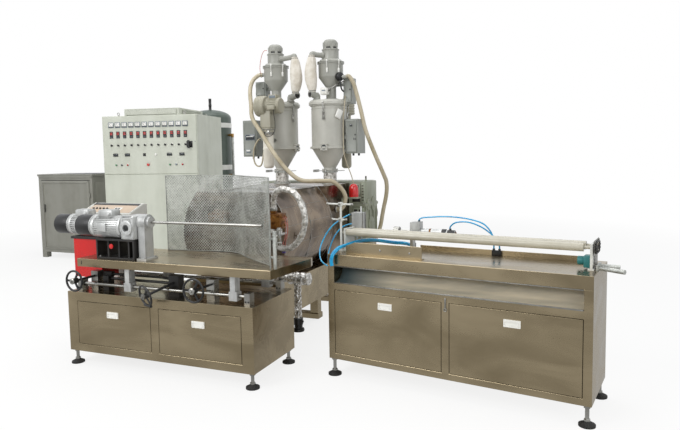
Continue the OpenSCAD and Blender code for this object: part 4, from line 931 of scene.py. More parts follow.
def makeHoses():
    taped = sweepHose("hot_air_hose_tape", hoseLines["air"], hoseKinds["taped"], "lagging")
    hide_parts("hot_air_hose")
    x, y, z = 0.54, -0.3, 0.92  # middle of the tee under the hose
    tee = [addBar((x, y, 0.85), (x, y, 0.99), 0.016, 20, 0.002), addBar((x, y, 0.862), (x, y, 0.878), 0.021, 6, 0.001),
           addBar((x, y, 0.962), (x, y, 0.978), 0.021, 6, 0.001), addBar((0.48, y, z), (0.545, y, z), 0.014, 20, 0.002),
           addBar((0.498, y, z), (0.498, -0.101, z), 0.011, 16),
           addBar((0.498, -0.29, z), (0.498, -0.274, z), 0.017, 6, 0.001),
           addBar((0.46, -0.23, 1.112), (0.46, -0.231, 1.14), 0.029, 28, 0.003),
           addBar((0.42, -0.114, 0.826), (0.42, -0.1, 0.826), 0.031, 28, 0.002)]
    finishPiece("air_tee", tee, "lagging", "bright_steel")
    left = sweepHose("suction_hose_left", hoseLines["left"], hoseKinds["ribbed"], "hose_plastic")
    sweepHose("suction_hose_right", hoseLines["right"], hoseKinds["ribbed"], "hose_plastic")
    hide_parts("suction_hoses")
    clips = [addRing(at, radius, thick, way=(1, 0, 0)) for at, radius, thick in (
        ((-0.47, 1.28, 2.397), 0.0235, 0.0022), ((0.4485, 1.1, 1.0), 0.026, 0.006),
        ((0.4535, 1.65, 0.59), 0.026, 0.006), ((0.52, 1.28, 2.3214), 0.0235, 0.0022))]
    finishPiece("hose_clips", clips, "hose_plastic", "bright_steel")
    lines = [sweepHose("air_line_" + name, hoseLines[name], hoseKinds["airLine"], "blue_tube", place=cutterPlace)
             for name in ("arc", "branch", "high", "low")]
    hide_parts("air_hoses")
    # seven lines tied in a round bundle, each on its own side of the middle line
    middle = [Vector(q) for q in hoseLines["bundle"]]
    for i in range(7):
        route = []
        for k, q in enumerate(middle):
            way = (middle[min(k + 1, len(middle) - 1)] - middle[max(k - 1, 0)]).normalized()
            side = way.cross(Vector((0.1, 1, 0.1))).normalized()
            a = math.radians(60*i) + 0.12*k
            off = 0 if i == 6 else 8.6  # millimetres from the middle line; the seventh is the middle one
            route.append(q + off*(math.cos(a)*side + math.sin(a)*way.cross(side)))
        sweepHose("air_bundle_%d" % (i + 1), route, hoseKinds["bundle"], "blue_tube", place=cutterPlace)
    block = [addBox((1.03, 0.411, 0.86), (1.092, 0.429, 0.897), 0.002),
             addBox((0.408, 0.483, 0.86), (0.44, 0.517, 0.896), 0.003)]
    block += [addBar((x, 0.422, 0.896), (x, 0.422, 0.908), 0.0085, 6, 0.001) for x in (1.042, 1.08)]
    finishPiece("air_fittings", block, "blue_tube", "black_plastic", cutterPlace)


makeHoses()
print("hoses: taped air hose, ribbed suction hoses and blue air lines")

# vacuum loaders on the dryers: neck, cone, drum with its clamp ring, shoulder, drum top and ribbed cap
loaderSettings = {
    "places": ((-0.325, 1.34), (0.308, 1.34)), "foot": 2.0974,
    "stubs": {"left": (-0.125, -0.04, 0.3), "right": (0.04, 0.2, 0.224)},
    # bars of a clip: low and high end, how far each stands out, radius, sides, chamfer
    "clip": ((0, 0.082, 0, 0.013, 0.004, 8, 0.001), (-0.03, 0.016, 0.004, 0.004, 0.01, 12, 0.003),
             (0.082, 0.094, 0.006, 0.014, 0.009, 12, 0.002)),
    "profile": ((0.076, 0), (0.078, 0.014), (0.052, 0.02), (0.052, 0.13), (0.125, 0.232), (0.126, 0.24),
                (0.126, 0.366), (0.138, 0.368), (0.138, 0.376), (0.129, 0.379), (0.138, 0.382), (0.138, 0.388),
                (0.12, 0.394), (0.108, 0.408), (0.086, 0.418), (0.084, 0.424), (0.084, 0.502), (0.09, 0.505),
                (0.09, 0.514), (0.07, 0.518), (0.066, 0.522), (0.066, 0.534), (0.074, 0.538), (0.076, 0.544),
                (0.074, 0.575), (0.066, 0.598), (0.05, 0.61), (0.018, 0.614)),
}


def makeLoaders(s):
    z = s["foot"]
    for side, (x, y) in zip(("left", "right"), s["places"]):
        rib = addBox((x + 0.068, y - 0.005, z + 0.545), (x + 0.078, y + 0.005, z + 0.584), 0.002)
        parts = [addTurned(s["profile"], (x, y, z), steps=72)]
        parts += repeatPiece(rib, [turnAbout((x, y, z), a) for a in range(30, 360, 30)])
        parts += addBolts([onCircle((x, y, z + 0.388), 0.131, 45*i + 20) for i in range(8)], 0.01)
        a, b, up = s["stubs"][side]
        parts.append(addBar((x + a, 1.28, z + up), (x + b, 1.28, z + up), 0.0185, 24))
        loader = finishPiece("loader_shell_" + side, parts, "grey_enamel", round=0.0006)
        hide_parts("loader_" + side)
        # a black band in the groove under the cap is painted shade inside the slot
        slot = addBar((x, y, z + 0.519), (x, y, z + 0.537), 0.0675, 48)
        finishPiece("loader_slot_shade_" + side, [slot], "grey_enamel", "black_plastic")
        bar = addBox((x + 0.06, y - 0.014, z + 0.514), (x + 0.0755, y + 0.014, z + 0.542), 0.002)
        bar.data.transform(turnAbout((x, y, 0), 5))
        bars = repeatPiece(bar, [turnAbout((x, y, 0), a) for a in range(60, 360, 60)])
        finishPiece("loader_bridge_" + side, bars, "grey_enamel")
        # over-centre clips on the clamp ring
        clips = []
        for degrees in (-84, -30, 150):
            out = onCircle((0, 0, 0), 1, degrees)
            foot = Vector((x, y, z + 0.3)) + out*0.127
            for low, high, lowOut, highOut, radius, sides, chamfer in s["clip"]:
                clips.append(addBar(foot + Vector((0, 0, low)) + out*lowOut, foot + Vector((0, 0, high)) + out*highOut,
                                    radius, sides, chamfer))
        finishPiece("loader_clips_" + side, clips, "grey_enamel", "white_plastic")


makeLoaders(loaderSettings)
print("loaders: shells, cap slots and clips")

# dryer fittings: rolled rims, lid lugs, toggle latches, sight glasses and flange bolts
dryerSettings = {
    "places": ((-0.28, 1.34), (0.28, 1.34)), "radius": 0.181, "seam": 1.6174, "top": 2.0514, "lid": 2.0974,
    "latches": ((-20, 100), (-84, 20)), "glasses": (-6, -84),
}


def makeDryerTrim(s):
    low, radius, top = s["seam"], s["radius"], s["top"]
    for k, side in enumerate(("left", "right")):
        x, y = s["places"][k]
        rims = [addRing((x, y, top - 0.006), radius + 0.008, 0.008, 72, 12),
                addRing((x, y, top - 0.04), radius, 0.004, 72, 10)]
        for z, r, thick in ((low - 0.008, radius + 0.018, 0.0035), (low + 0.012, radius + 0.004, 0.004),
                            (s["lid"] - 0.012, 0.196, 0.004)):
            rims.append(addRing((x, y, z), r, thick, 72, 8))
        rims += addBolts([onCircle((x, y, low + 0.004), radius + 0.011, 30*i + 11) for i in range(12)], 0.009)
        seam = addBox((x + 0.1795, y - 0.011, low + 0.02), (x + 0.1825, y + 0.011, top - 0.05), 0.001)
        seam.data.transform(turnAbout((x, y, 0), 200))
        finishPiece("dryer_rims_" + side, rims + [seam], "grey_enamel", "dryerBody")
        steel = []
        for degrees in s["latches"][k]:
            out = onCircle((0, 0, 0), 1, degrees)
            hook = onCircle((x, y, top + 0.016), radius + 0.022, degrees)
            foot = onCircle((x, y, top - 0.13), radius + 0.006, degrees)
            a, b, c = Vector((0, 0, 0.02)), Vector((0, 0, 0.05)), Vector((0, 0, 0.06))
            steel += [addBar(foot - a, foot + b, 0.012, 12, 0.003),
                      addBar(foot + a + out*0.008, hook, 0.0055, 10, 0.001),
                      addBar(hook - out*0.012, hook + out*0.006, 0.014, 14, 0.003),
                      addRing(foot + out*0.008 - Vector((0, 0, 0.016)), 0.012, 0.003, 24, 8, out),
                      addBar(foot + out*0.006 + a, foot + out*0.016 + c, 0.008, 10, 0.002)]
        finishPiece("dryer_latches_" + side, steel, "grey_enamel", "bright_steel")
        out = onCircle((0, 0, 0), 1, s["glasses"][k])
        seat = onCircle((x, y, low + 0.004), radius - 0.012, s["glasses"][k])
        boss = [addTurned(((0.04, 0), (0.04, 0.03), (0.037, 0.034), (0.026, 0.034), (0.024, 0.028)), seat, out, 40)]
        across, up = Vector((-out.y, out.x, 0)), Vector((0, 0, 1))
        for a in (45, 135, 225, 315):
            q = seat + out*0.03 + across*0.04*math.cos(math.radians(a)) + up*0.04*math.sin(math.radians(a))
            boss += [addBar(q - out*0.02, q + out*0.004, 0.011, 16, 0.002)] + addBolt(q + out*0.002, 0.013, out)
        finishPiece("sight_ring_" + side, boss, "grey_enamel", "dryerBody")
        glass = addBar(seat + out*0.02, seat + out*0.029, 0.0245, 32)
        finishPiece("sight_glass_" + side, [glass], "grey_enamel", "darkGlass")
        # lagged feed throat with its clamp bolts
        throat = addTurned(((0.066, 0), (0.069, 0.012), (0.067, 0.03), (0.07, 0.055), (0.067, 0.075), (0.069, 0.1)),
                           (x, y, 1.26), steps=40)
        finishPiece("throat_wrap_" + side, [throat], "lagging")
        bolts = []
        for z, way in ((1.375, (0, 0, -1)), (1.259, (0, 0, 1)), (1.391, (0, 0, 1))):
            bolts += addBolts([onCircle((x, y, z), 0.074, 60*i + 15) for i in range(6)], 0.013, way)
        for degrees in (-100, 80):
            q = onCircle((x, y, 1.37), 0.084, degrees)
            bolts += [addBar(q - Vector((0, 0, 0.03)), q + Vector((0, 0, 0.02)), 0.006, 10, 0.001),
                      addBox(q - Vector((0.012, 0.012, 0.036)), q + Vector((0.012, 0.012, -0.022)), 0.002)]
        finishPiece("throat_bolts_" + side, bolts, "bright_steel")


makeDryerTrim(dryerSettings)
print("dryers: rims, latches, sight glasses and throats")

# left blower: ribbed snail with its motor over a clamped heater tube; the right one stands behind its barrel
blowerSettings = {
    "place": (-0.263, 1.024), "rightPlace": (0.34, 1.66), "axis": 2.045, "motor": 0.072,
    "tubeLow": 1.416, "tubeTop": 1.822,
    "snail": ((0.07, 0), (0.098, 0.006), (0.104, 0.018), (0.098, 0.028), (0.106, 0.038), (0.099, 0.048),
              (0.107, 0.058), (0.099, 0.068), (0.106, 0.078), (0.1, 0.088), (0.104, 0.1), (0.096, 0.112),
              (0.074, 0.118)),
    "rightSnail": ((0.06, 0), (0.092, 0.006), (0.098, 0.02), (0.092, 0.032), (0.097, 0.045), (0.091, 0.058),
                   (0.097, 0.072), (0.091, 0.086), (0.096, 0.1), (0.09, 0.126), (0.07, 0.148)),
}


def makeBlowers(s):
    x, y = s["place"]
    z, low, top = s["axis"], s["tubeLow"], s["tubeTop"]
    neck = addBox((x - 0.062, y - 0.056, top - 0.005), (x + 0.056, y + 0.056, z - 0.035), 0.012)
    pickFaces(neck, lambda c, n: n.z < -0.9)
    bpy.ops.transform.resize(value=(0.9, 0.9, 1))
    leaveEdit()
    parts = [neck, addTurned(s["snail"], (x - 0.118, y, z), (1, 0, 0), 64),
             addTurned(((0.078, 0), (0.078, 0.006), (0.07, 0.008), (0.07, 0.012), (0.078, 0.014), (0.078, 0.02)),
                       (x + 0.002, y, z), (1, 0, 0)),
             addTurned(((0.062, 0), (0.064, 0.004), (0.064, 0.012), (0.058, 0.016), (0.058, 0.024), (0.064, 0.028),
                        (0.064, 0.04), (0.06, 0.044)), (x, y, top - 0.044))]
    blower = finishPiece("left_blower_casing", parts, "cream_enamel", round=0.0006)
    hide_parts("dryer_blowers")
    tube = addTurned(((0.03, 0), (0.046, 0.008), (0.053, 0.024), (0.054, 0.03), (0.0535, 0.19), (0.056, 0.194),
                      (0.056, 0.204), (0.0535, 0.208), (0.0535, 0.372)), (x, y, low))
    finishPiece("left_heater_tube", [tube], "cream_enamel", "creamTube")
    motor = addBar((x + 0.02, y, z), (x + 0.146, y, z), s["motor"], 48)
    raiseFins(motor, (x, y, z), 48, 1.09)
    parts = [motor, addTurned(((0.079, 0), (0.08, 0.022), (0.074, 0.034), (0.04, 0.036)), (x + 0.124, y, z), (1, 0, 0)),
             addBox((x + 0.034, y - 0.045, z + 0.06), (x + 0.124, y + 0.045, z + 0.11), 0.006),
             addBox((x + 0.05, y - 0.108, z - 0.045), (x + 0.13, y - 0.062, z - 0.004), 0.005)]
    parts += addBolts([(x + dx, y + dy, z + 0.11) for dx in (0.042, 0.116) for dy in (-0.037, 0.037)], 0.007)
    parts += addBolts([onCircle((x + 0.002, y, z), 0.088, a, "X") for a in range(0, 360, 45)], 0.01, (1, 0, 0))
    finishPiece("left_blower_motor", parts, "cream_enamel", round=0.0005)
    plate = addBox((x + 0.046, y - 0.048, z + 0.074), (x + 0.112, y - 0.0455, z + 0.1), 0.001)
    finishPiece("left_blower_plate", [plate], "cream_enamel", "blueGrey")
    clamp = onCircle((x, y, low + 0.36), 0.072, -60)
    a, b = Vector((0.012, 0.012, 0.02)), Vector((0.024, 0.008, 0))
    bands = [addRing((x, y, low + up), 0.062, 0.0045, 48, 8) for up in (0.346, 0.36, 0.392)]
    bands += [addBox(clamp - a, clamp + a, 0.002), addBar(clamp - b, clamp + b, 0.004, 8, 0.001),
              addBar((x, y + 0.04, 1.7), (x, 1.162, 1.7), 0.02, 24, 0.002)]
    finishPiece("left_tube_bands", bands, "cream_enamel", "bright_steel")
    x, y = s["rightPlace"]
    parts = [addTurned(((0.03, 0), (0.048, 0.012), (0.053, 0.03), (0.0535, 0.566)), (x, y, 1.394)),
             addTurned(s["rightSnail"], (x, y, 1.962), steps=64),
             addTurned(((0.034, 0), (0.035, 0.028), (0.028, 0.032)), (x, y, 2.11), steps=32),
             addBar((x - 0.016, 1.51, 1.7), (x - 0.01, y, 1.7), 0.02, 24, 0.002)]
    finishPiece("right_blower_casing", parts, "cream_enamel", round=0.0006)


makeBlowers(blowerSettings)
print("blowers: snail, motor, heater tubes")

# exhaust elbows with painted shade as dark discs in their open ends, and the cloth bags tied between them
bagSettings = {
    "places": ((-0.044, 1.226), (0.168, 1.186)), "feet": ((-0.118, 1.262), (0.196, 1.23)), "low": 2.176, "high": 2.545,
    "radius": 0.064, "lean": (0.014, -0.014), "tie": 0.032, "cloth": 0.0012,
}


def makeBag(k, s):
    x, y = s["places"][k]
    high, low = s["high"], s["low"]
    bpy.ops.mesh.primitive_grid_add(x_subdivisions=64, y_subdivisions=70, size=1)
    bag = bpy.context.object
    for vertex in bag.data.vertices:
        a = (vertex.co.x + 0.5)*2*math.pi
        t = vertex.co.y + 0.5
        full = math.sin(math.pi*min(1, max(0, (t - 0.04)/0.92)))**0.62
        wide = s["tie"] + (s["radius"] - s["tie"])*full*(1 - 0.25*(t - 0.42))
        gather = 0.055*math.sin(9*a + 1.5*k)*math.exp(-((t - 1)/0.16)**2) + 0.05*math.sin(8*a)*math.exp(-(t/0.14)**2)
        slack = 0.05*math.sin(3*a + 5*t + k) + 0.045*noise.noise(Vector((math.cos(a)*1.6, math.sin(a)*1.6, t*5 + 7*k)))
        crease = 0.03*noise.noise(Vector((math.cos(a)*3.5, math.sin(a)*3.5, t*12 + 3*k)))
        r = min(s["radius"]*1.02, wide*(1 + gather + (slack + crease)*full))
        bend = s["lean"][k]*math.sin(math.pi*t)
        squash = 1 - 0.16*full
        vertex.co = (x + bend + r*math.cos(a), y + r*squash*math.sin(a), low + t*(high - low))
    bpy.ops.object.mode_set(mode="EDIT")
    bpy.ops.mesh.select_all(action="SELECT")
    bpy.ops.mesh.remove_doubles(threshold=0.0001)
    bpy.ops.mesh.normals_make_consistent(inside=False)
    leaveEdit()
    thicken(bag, s["cloth"])
    bag = finishPiece("filter_bag_%d" % (k + 1), [bag], "filter_cloth", smooth=60)
    return bag


def makeExhausts(s):
    for k in (0, 1):
        x, y = s["places"][k]
        foot = Vector((*s["feet"][k], 2.0974))
        away = Vector((x, y, foot.z)) - foot
        away.normalize()
        turn, end = Vector((x, y, 2.158)), Vector((x, y, 2.158)) + away*0.03
        joint = Vector((loaderSettings["places"][k][0], 1.34, 2.55))
        over = (Vector((x, y, 2.55)) - joint).normalized()
        parts = [addPipe([foot, foot + Vector((0, 0, 0.045)), Vector((foot.x, foot.y, 2.142)) + away*0.016,
                          turn + away*0.002, end], 0.034, 0.006),
                 addTurned(((0.04, 0), (0.042, 0.01), (0.036, 0.012)), foot, steps=40),
                 addTurned(((0.03, 0), (0.03, 0.045), (0.033, 0.048), (0.033, 0.054), (0.03, 0.056)), (x, y, 2.15),
                           steps=40),
                 addRing(end, 0.033, 0.0035, 40, 8, away),
                 addPipe([joint + over*0.07, joint + over*0.12, Vector((x, y, 2.552)) - over*0.05,
                          Vector((x, y, 2.56)) - over*0.006, (x, y, 2.535), (x, y, 2.512)], 0.026, 0.006),
                 addTurned(((0.03, 0), (0.033, 0.004), (0.033, 0.012), (0.029, 0.016)), joint + over*0.082, over, 36)]
        elbow = finishPiece("exhaust_elbow_%d" % (k + 1), parts, "grey_enamel")
        if k == 0:
            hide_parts("exhaust_elbows")
        # a black disc inside the open end is painted shade
        mouth = addBar(end - away*0.004, end + away*0.0012, 0.0305, 36)
        finishPiece("elbow_mouth_shade_%d" % (k + 1), [mouth], "grey_enamel", "black_steel")
        ties = [addRing((x, y, 2.19), 0.034, 0.0035, 36, 8), addRing((x, y, 2.532), 0.033, 0.0035, 36, 8)]
        finishPiece("bag_ties_%d" % (k + 1), ties, "grey_enamel", "bright_steel")
    bags = [makeBag(k, s) for k in (0, 1)]
    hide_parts("filter_bags")


makeExhausts(bagSettings)
print("exhausts: elbows and cloth bags")

# control boxes on the dryers: door rims, windows, slots painted dark as shade, and the fittings and cables beside them
boxSettings = {
    "doors": ((-0.699, 1.28, 1.549, 0.137, 0.362), (0.495, 1.28, 1.566, 0.108, 0.319),
              (-0.559, 1.33, 2.188, 0.098, 0.133), (0.456, 1.33, 2.07, 0.079, 0.232)),
    "glands": ((-0.66, 1.535), (-0.6, 1.535), (0.52, 1.552), (0.58, 1.552)),
    # small plates: middle across and up, width, height, back face, thickness
    # the two narrow dark plates among the windows are painted shade in slots
    "plates": (("box_windows_and_slot_shade", "darkGlass", ((-0.622, 1.743, 0.108, 0.052, 1.271, 0.003),
                (0.545, 1.834, 0.026, 0.02, 1.271, 0.003), (0.576, 1.7, 0.006, 0.022, 1.271, 0.002),
                (0.592, 1.7, 0.006, 0.022, 1.271, 0.002))),
               ("box_frames", "blueGrey", ((-0.622, 1.743, 0.118, 0.062, 1.2715, 0.002),
                (-0.646, 1.597, 0.058, 0.036, 1.271, 0.002))),
               ("box_labels", "white_plastic", ((-0.646, 1.602, 0.048, 0.018, 1.2685, 0.001),
                (-0.622, 1.752, 0.09, 0.006, 1.2672, 0.0005)))),
}
cableLines = {
    "black": [(-150, 940, 2004), (-150, 940, 1960), (-140, 946, 1870), (-150, 952, 1790), (-190, 946, 1742),
              (-235, 942, 1738), (-262, 948, 1760), (-263, 956, 1786)],
    "cream": [(470, 1330, 2134), (474, 1306, 2128), (486, 1276, 2105), (488, 1260, 2060), (482, 1254, 1990),
              (471, 1254, 1900), (468, 1254, 1700), (474, 1250, 1560), (500, 1262, 1450), (535, 1290, 1330),
              (555, 1300, 1243)],
    "loop": [(-520, 1311, 1722), (-524, 1280, 1716), (-552, 1250, 1650), (-572, 1248, 1560), (-560, 1250, 1470),
             (-522, 1252, 1432), (-480, 1254, 1450), (-460, 1258, 1540), (-452, 1276, 1625), (-450, 1292, 1668)],
    "pink": [(-405, 1300, 2652), (-432, 1290, 2650), (-452, 1276, 2610), (-466, 1262, 2530), (-470, 1256, 2460),
             (-466, 1262, 2420), (-462, 1268, 2412)],
}


def makeBoxTrim(s):
    doors, fittings = [], []
    for x, y, z, wide, high in s["doors"]:
        door = addBox((x, y - 0.009, z), (x + wide, y - 0.0005, z + high), 0.003)
        sinkFaces(door, lambda c, n: n.y < -0.9, 0.006, 0, 0.002, 0)
        doors.append(door)
        for dz in (0.2, 0.8):
            hinge = Vector((x - 0.004, y - 0.006, z + high*dz))
            doors.append(addBar(hinge - Vector((0, 0, 0.014)), hinge + Vector((0, 0, 0.014)), 0.004, 12, 0.001))
        lock = x + wide - 0.012
        fittings.append(addBar((lock, y - 0.016, z + high*0.55), (lock, y - 0.008, z + high*0.55), 0.007, 16, 0.001))
    finishPiece("box_doors", doors, "grey_enamel", "boxGrey")
    fittings += [addBar((x, 1.4, z - 0.022), (x, 1.4, z + 0.002), 0.011, 6, 0.002) for x, z in s["glands"]]
    fittings += [addTurned(((0.02, 0), (0.044, 0.006), (0.046, 0.03), (0.038, 0.046), (0.02, 0.052)),
                           (0.412, 1.284, 2.325), (0.88, -0.47, 0), 36),
                 addPipe([(0.44, 1.262, 2.29), (0.446, 1.26, 2.24), (0.452, 1.27, 2.2), (0.456, 1.31, 2.18)], 0.008)]
    finishPiece("box_fittings", fittings, "grey_enamel", "black_plastic")
    for name, finish, plates in s["plates"]:
        finishPiece(name, [addPlate(*plate) for plate in plates], "grey_enamel", finish)
    relay = [addBox((0.243, 1.205, 2.148), (0.323, 1.262, 2.218), 0.008),
             addBox((0.25, 1.2, 2.156), (0.316, 1.208, 2.21), 0.003),
             addBar((0.283, 1.255, 2.18), (0.3, 1.3, 2.18), 0.016, 20)]
    finishPiece("level_sensor", relay, "grey_enamel", "white_plastic")
    finishPiece("sensor_mark", [addPlate(0.283, 2.19, 0.04, 0.014, 1.1995, 0.001)], "grey_enamel", "blueGrey")
    tag = addBox((-0.03, -0.012, -0.045), (0.03, 0.012, 0.045), 0.005)
    place = turned(52, onCircle((0.28, 1.34, 1.95), 0.203, -38)) @ Matrix.Rotation(math.radians(24), 4, "Y")
    finishPiece("cable_tag", [tag], "grey_enamel", "white_plastic", place)
    arm = [addBar((0.318, 1.236, 2.19), (0.4, 1.25, 2.24), 0.0065, 16),
           addBar((0.396, 1.25, 2.238), (0.462, 1.326, 2.286), 0.0065, 16),
           addTurned(((0.012, 0), (0.014, 0.004), (0.014, 0.02), (0.01, 0.024)), (0.312, 1.234, 2.188),
                     (0.8, 0.2, 0.5), 24)]
    finishPiece("sensor_arm", arm, "grey_enamel", "bright_steel")
    sweepHose("motor_cable", cableLines["black"], hoseKinds["cable"], "grey_enamel", "black_plastic")
    sweepHose("signal_cord", cableLines["cream"], hoseKinds["signal"], "hose_plastic")
    sweepHose("drain_hose", cableLines["loop"], hoseKinds["drain"], "hose_plastic")
    sweepHose("cap_wire", cableLines["pink"], hoseKinds["cable"], "hose_plastic", "pinkWire")


makeBoxTrim(boxSettings)
print("boxes: doors, windows, fittings and cables")

# die head: band heater with bolts, nose, ceramic connectors and their leads
dieSettings = {
    "x": 0.46, "y": -0.27, "z": 1.03, "deep": 0.12, "other": -0.06,
    # leads in millimetres from the middle of the front die's face
    "leads": {
        "pink_lead_1": [(69, 66, 30), (86, 66, 32), (104, 62, 12), (114, 56, -40), (112, 46, -110), (96, 38, -180),
                        (88, 36, -214)],
        "pink_lead_2": [(69, 50, 22), (84, 50, 24), (98, 46, 6), (106, 38, -46), (102, 30, -112), (84, 28, -180),
                        (80, 30, -214)],
        "pink_lead_3": [(69, 80, -14), (90, 80, -16), (102, 74, -50), (96, 62, -120), (72, 50, -170), (66, 48, -198)],
        "white_lead": [(66, 16, -98), (66, 14, -120), (52, 6, -160), (30, 20, -196), (4, 60, -205), (-10, 120, -190),
                       (-10, 171, -190)],
    },
}


def makeDie(s):
    parts, collar = [], []
    y, z = s["y"], s["z"]
    back = y + s["deep"]
    for x in (s["x"], s["other"]):
        parts += [addBox((x - 0.07, y, z - 0.06), (x + 0.07, back, z + 0.06), 0.006),
                  addTurned(((0.041, 0), (0.042, 0.045), (0.052, 0.046), (0.052, 0.056), (0.042, 0.058)),
                            (x, back - 0.004, z), (0, 1, 0), 40),
                  addTurned(((0.022, 0), (0.022, 0.006), (0.015, 0.008), (0.015, 0.014), (0.007, 0.0142),
                             (0.006, 0.008)), (x, y + 0.001, z), (0, -1, 0), 36)]
        parts += addBolts([(x + a, y, z + b) for a in (-0.05, 0.05) for b in (-0.04, 0.04)], 0.014, (0, -1, 0))
        for way in (1, -1):
            places = [(x + 0.07*way, y + a, z + b) for a in (0.03, 0.09) for b in (-0.035, 0.035)]
            parts += addBolts(places, 0.013, (way, 0, 0))
        parts += [addBox((x - 0.02, y + 0.02, z + 0.058), (x + 0.02, y + 0.06, z + 0.084), 0.003),
                  addBar((x, y + 0.04, z + 0.08), (x, y + 0.04, z + 0.0845), 0.025, 30, 0.001)]
        collar += [addTurned(((0.046, 0), (0.047, 0.026), (0.046, 0.028)), (x, back + 0.006, z), (0, 1, 0), 40),
                   addBox((x + 0.04, back + 0.008, z - 0.012), (x + 0.064, back + 0.03, z + 0.012), 0.002)]
        collar += [addBar((x + 0.03, y + 0.006, z + b), (x + 0.03, y + 0.114, z + b), 0.004, 10) for b in (-0.05, 0.05)]
    die = finishPiece("die_assembly", parts, "heat_steel", round=0.0006)
    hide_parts("die_heads")
    finishPiece("heater_bands", collar, "heat_steel", "bright_steel")
    x = s["x"]
    blocks = [addBox((x + 0.052, y + 0.002, z - 0.098), (x + 0.078, y + 0.03, z - 0.058), 0.003),
              addBox((x - 0.02, y + 0.01, z - 0.092), (x + 0.012, y + 0.036, z - 0.058), 0.003),
              addBar((x + 0.02, y + 0.05, z - 0.17), (x + 0.03, y + 0.04, z - 0.058), 0.01, 20, 0.002)]
    finishPiece("ceramic_connectors", blocks, "heat_steel", "white_plastic")
    plugs = [addBox((x + 0.072, y + 0.026, z - 0.25), (x + 0.098, y + 0.046, z - 0.212), 0.004),
             addBox((x + 0.056, y + 0.04, z - 0.222), (x + 0.074, y + 0.056, z - 0.196), 0.003)]
    finishPiece("violet_plugs", plugs, "heat_steel", "violetPlug")
    for name, route in s["leads"].items():
        finish = "white_plastic" if name == "white_lead" else "pinkWire"
        sweepHose(name, route, hoseKinds["lead"], "heat_steel", finish, Matrix.Translation((x, y, z)))


makeDie(dieSettings)

# hoops and long seams of the faceted drum, its rows of bolts, vents and lever
drumSettings = {"z": 0.887, "radius": 0.503, "low": 0.5, "high": 1.2465, "hoops": (-0.096, 0.372, 0.846),
                "facets": (0, 1, 2, 3, -1, -2, -3, 7, 8, 9, 10, 11, 12, 13), "turn": 18}


def makeDrumTrim(s):
    seams = []
    for y in s["hoops"]:
        last = None
        for i in range(21):
            q = onCircle((0, y, s["z"]), s["radius"], s["turn"]*(i + 0.5), "Y")
            q.z = min(max(q.z, s["low"]), s["high"])
            under = last and abs(q.z - s["low"]) < 0.002 and abs(last.z - s["low"]) < 0.002
            if last and (q - last).length > 0.02 and not under:
                seams.append(addBar(last, q, 0.004, 6))
            last = q
    for i in s["facets"]:
        seam = onCircle((0, 0, s["z"]), s["radius"] - 0.0015, s["turn"]*(i + 0.5), "Y")
        if not 0.502 < seam.z < 1.243:
            continue
        seams.append(addBar((seam.x, -0.094, seam.z), (seam.x, 0.856, seam.z), 0.0016, 6))
        for y in (-0.06, 0.41, 0.81):
            at = onCircle((0, y, s["z"]), 0.4945, s["turn"]*i, "Y")
            if 0.52 < at.z < 1.23:
                seams += addBolt(at, 0.01, onCircle((0, 0, 0), 1, s["turn"]*i, "Y"))
    finishPiece("drum_seams", seams, "stainless", "bright_steel")
    # dark plates on the housing top are painted shade in the vent openings
    slots = [addBox((x - 0.04, y, 1.2448), (x + 0.04, y + 0.04, 1.2465), 0.0005)
             for y in (0.3, 0.62) for x in (-0.3, -0.02, 0.27)]
    finishPiece("housing_vent_shade", slots, "stainless", "black_steel")
    finishPiece("housing_lever", [addBar((0.502, 0.1, 0.87), (0.53, 0.094, 0.872), 0.007, 16, 0.001),
                                  addBar((0.527, 0.094, 0.84), (0.527, 0.094, 0.902), 0.007, 16, 0.002)],
                "stainless", "white_plastic")


makeDrumTrim(drumSettings)
print("die: heater block, leads, drum seams")

# foil wrapped pipe under the table, its skin crushed in facets
foilSettings = {"x": 0.33, "at": (0.69, -0.3), "z": 0.6, "crush": 0.007}


def crushSkin(piece, amount, size):
    data = piece.data
    normals = [v.normal.copy() for v in data.vertices]
    for vertex, normal in zip(data.vertices, normals):
        q = vertex.co/size
        fold = abs(noise.noise(q)) + 0.6*abs(noise.noise(q*2.3 + Vector((3, 1, 7))))
        vertex.co += normal*(0.35 - fold)*amount


def wrapped(radius, low, high, at, way, lumpy=0.0):
    count = max(3, int((high - low)/0.007))
    profile = [(radius*(0.9 if k in (0, count) else 1 + lumpy*math.sin(k*0.9)), low + (high - low)*k/count)
               for k in range(count + 1)]
    return addTurned(profile, at, way, 44)


def makeFoil(s):
    x, y = s["at"]
    z = s["z"]
    parts = [wrapped(0.038, 0, 0.235, (s["x"], y - 0.036, z), (0, 1, 0)),
             wrapped(0.033, 0, 0.34, (s["x"] - 0.03, y, z), (1, 0, 0)),
             wrapped(0.046, 0, 0.175, (x - 0.07, y, z), (1, 0, 0), 0.05),
             wrapped(0.027, 0.205, z - 0.03, (x, y, 0), (0, 0, 1), 0.04)]
    for part in parts:
        crushSkin(part, s["crush"], 0.02)
    foil = finishPiece("crushed_foil", parts, "lagging", "crushedFoil", smooth=22)
    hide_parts("foil_pipe")
    valve = [addTurned(((0.044, 0.186), (0.046, 0.19), (0.046, 0.2), (0.044, 0.204)), (x, y, 0), steps=40),
             addTurned(((0.032, 0.204), (0.032, 0.236), (0.037, 0.24), (0.037, 0.288), (0.032, 0.292)), (x, y, 0),
                       steps=40),
             addBar((x + 0.03, y, 0.264), (x + 0.044, y, 0.264), 0.008, 12, 0.001)]
    valve += addBolts([onCircle((x, y, 0.204), 0.038, 45 + 90*i) for i in range(4)], 0.009)
    finishPiece("foil_valve", valve, "lagging", "black_steel")


makeFoil(foilSettings)
print("foil pipe: crushed wrap and valve")

# operator console: dark band along its top, beige panel with a small display on the slope, tilt about X
consoleSettings = {"x": (-1.15, -0.64), "front": (-0.6, 1.1), "back": (-0.44, 1.165), "bezel": 0.024}


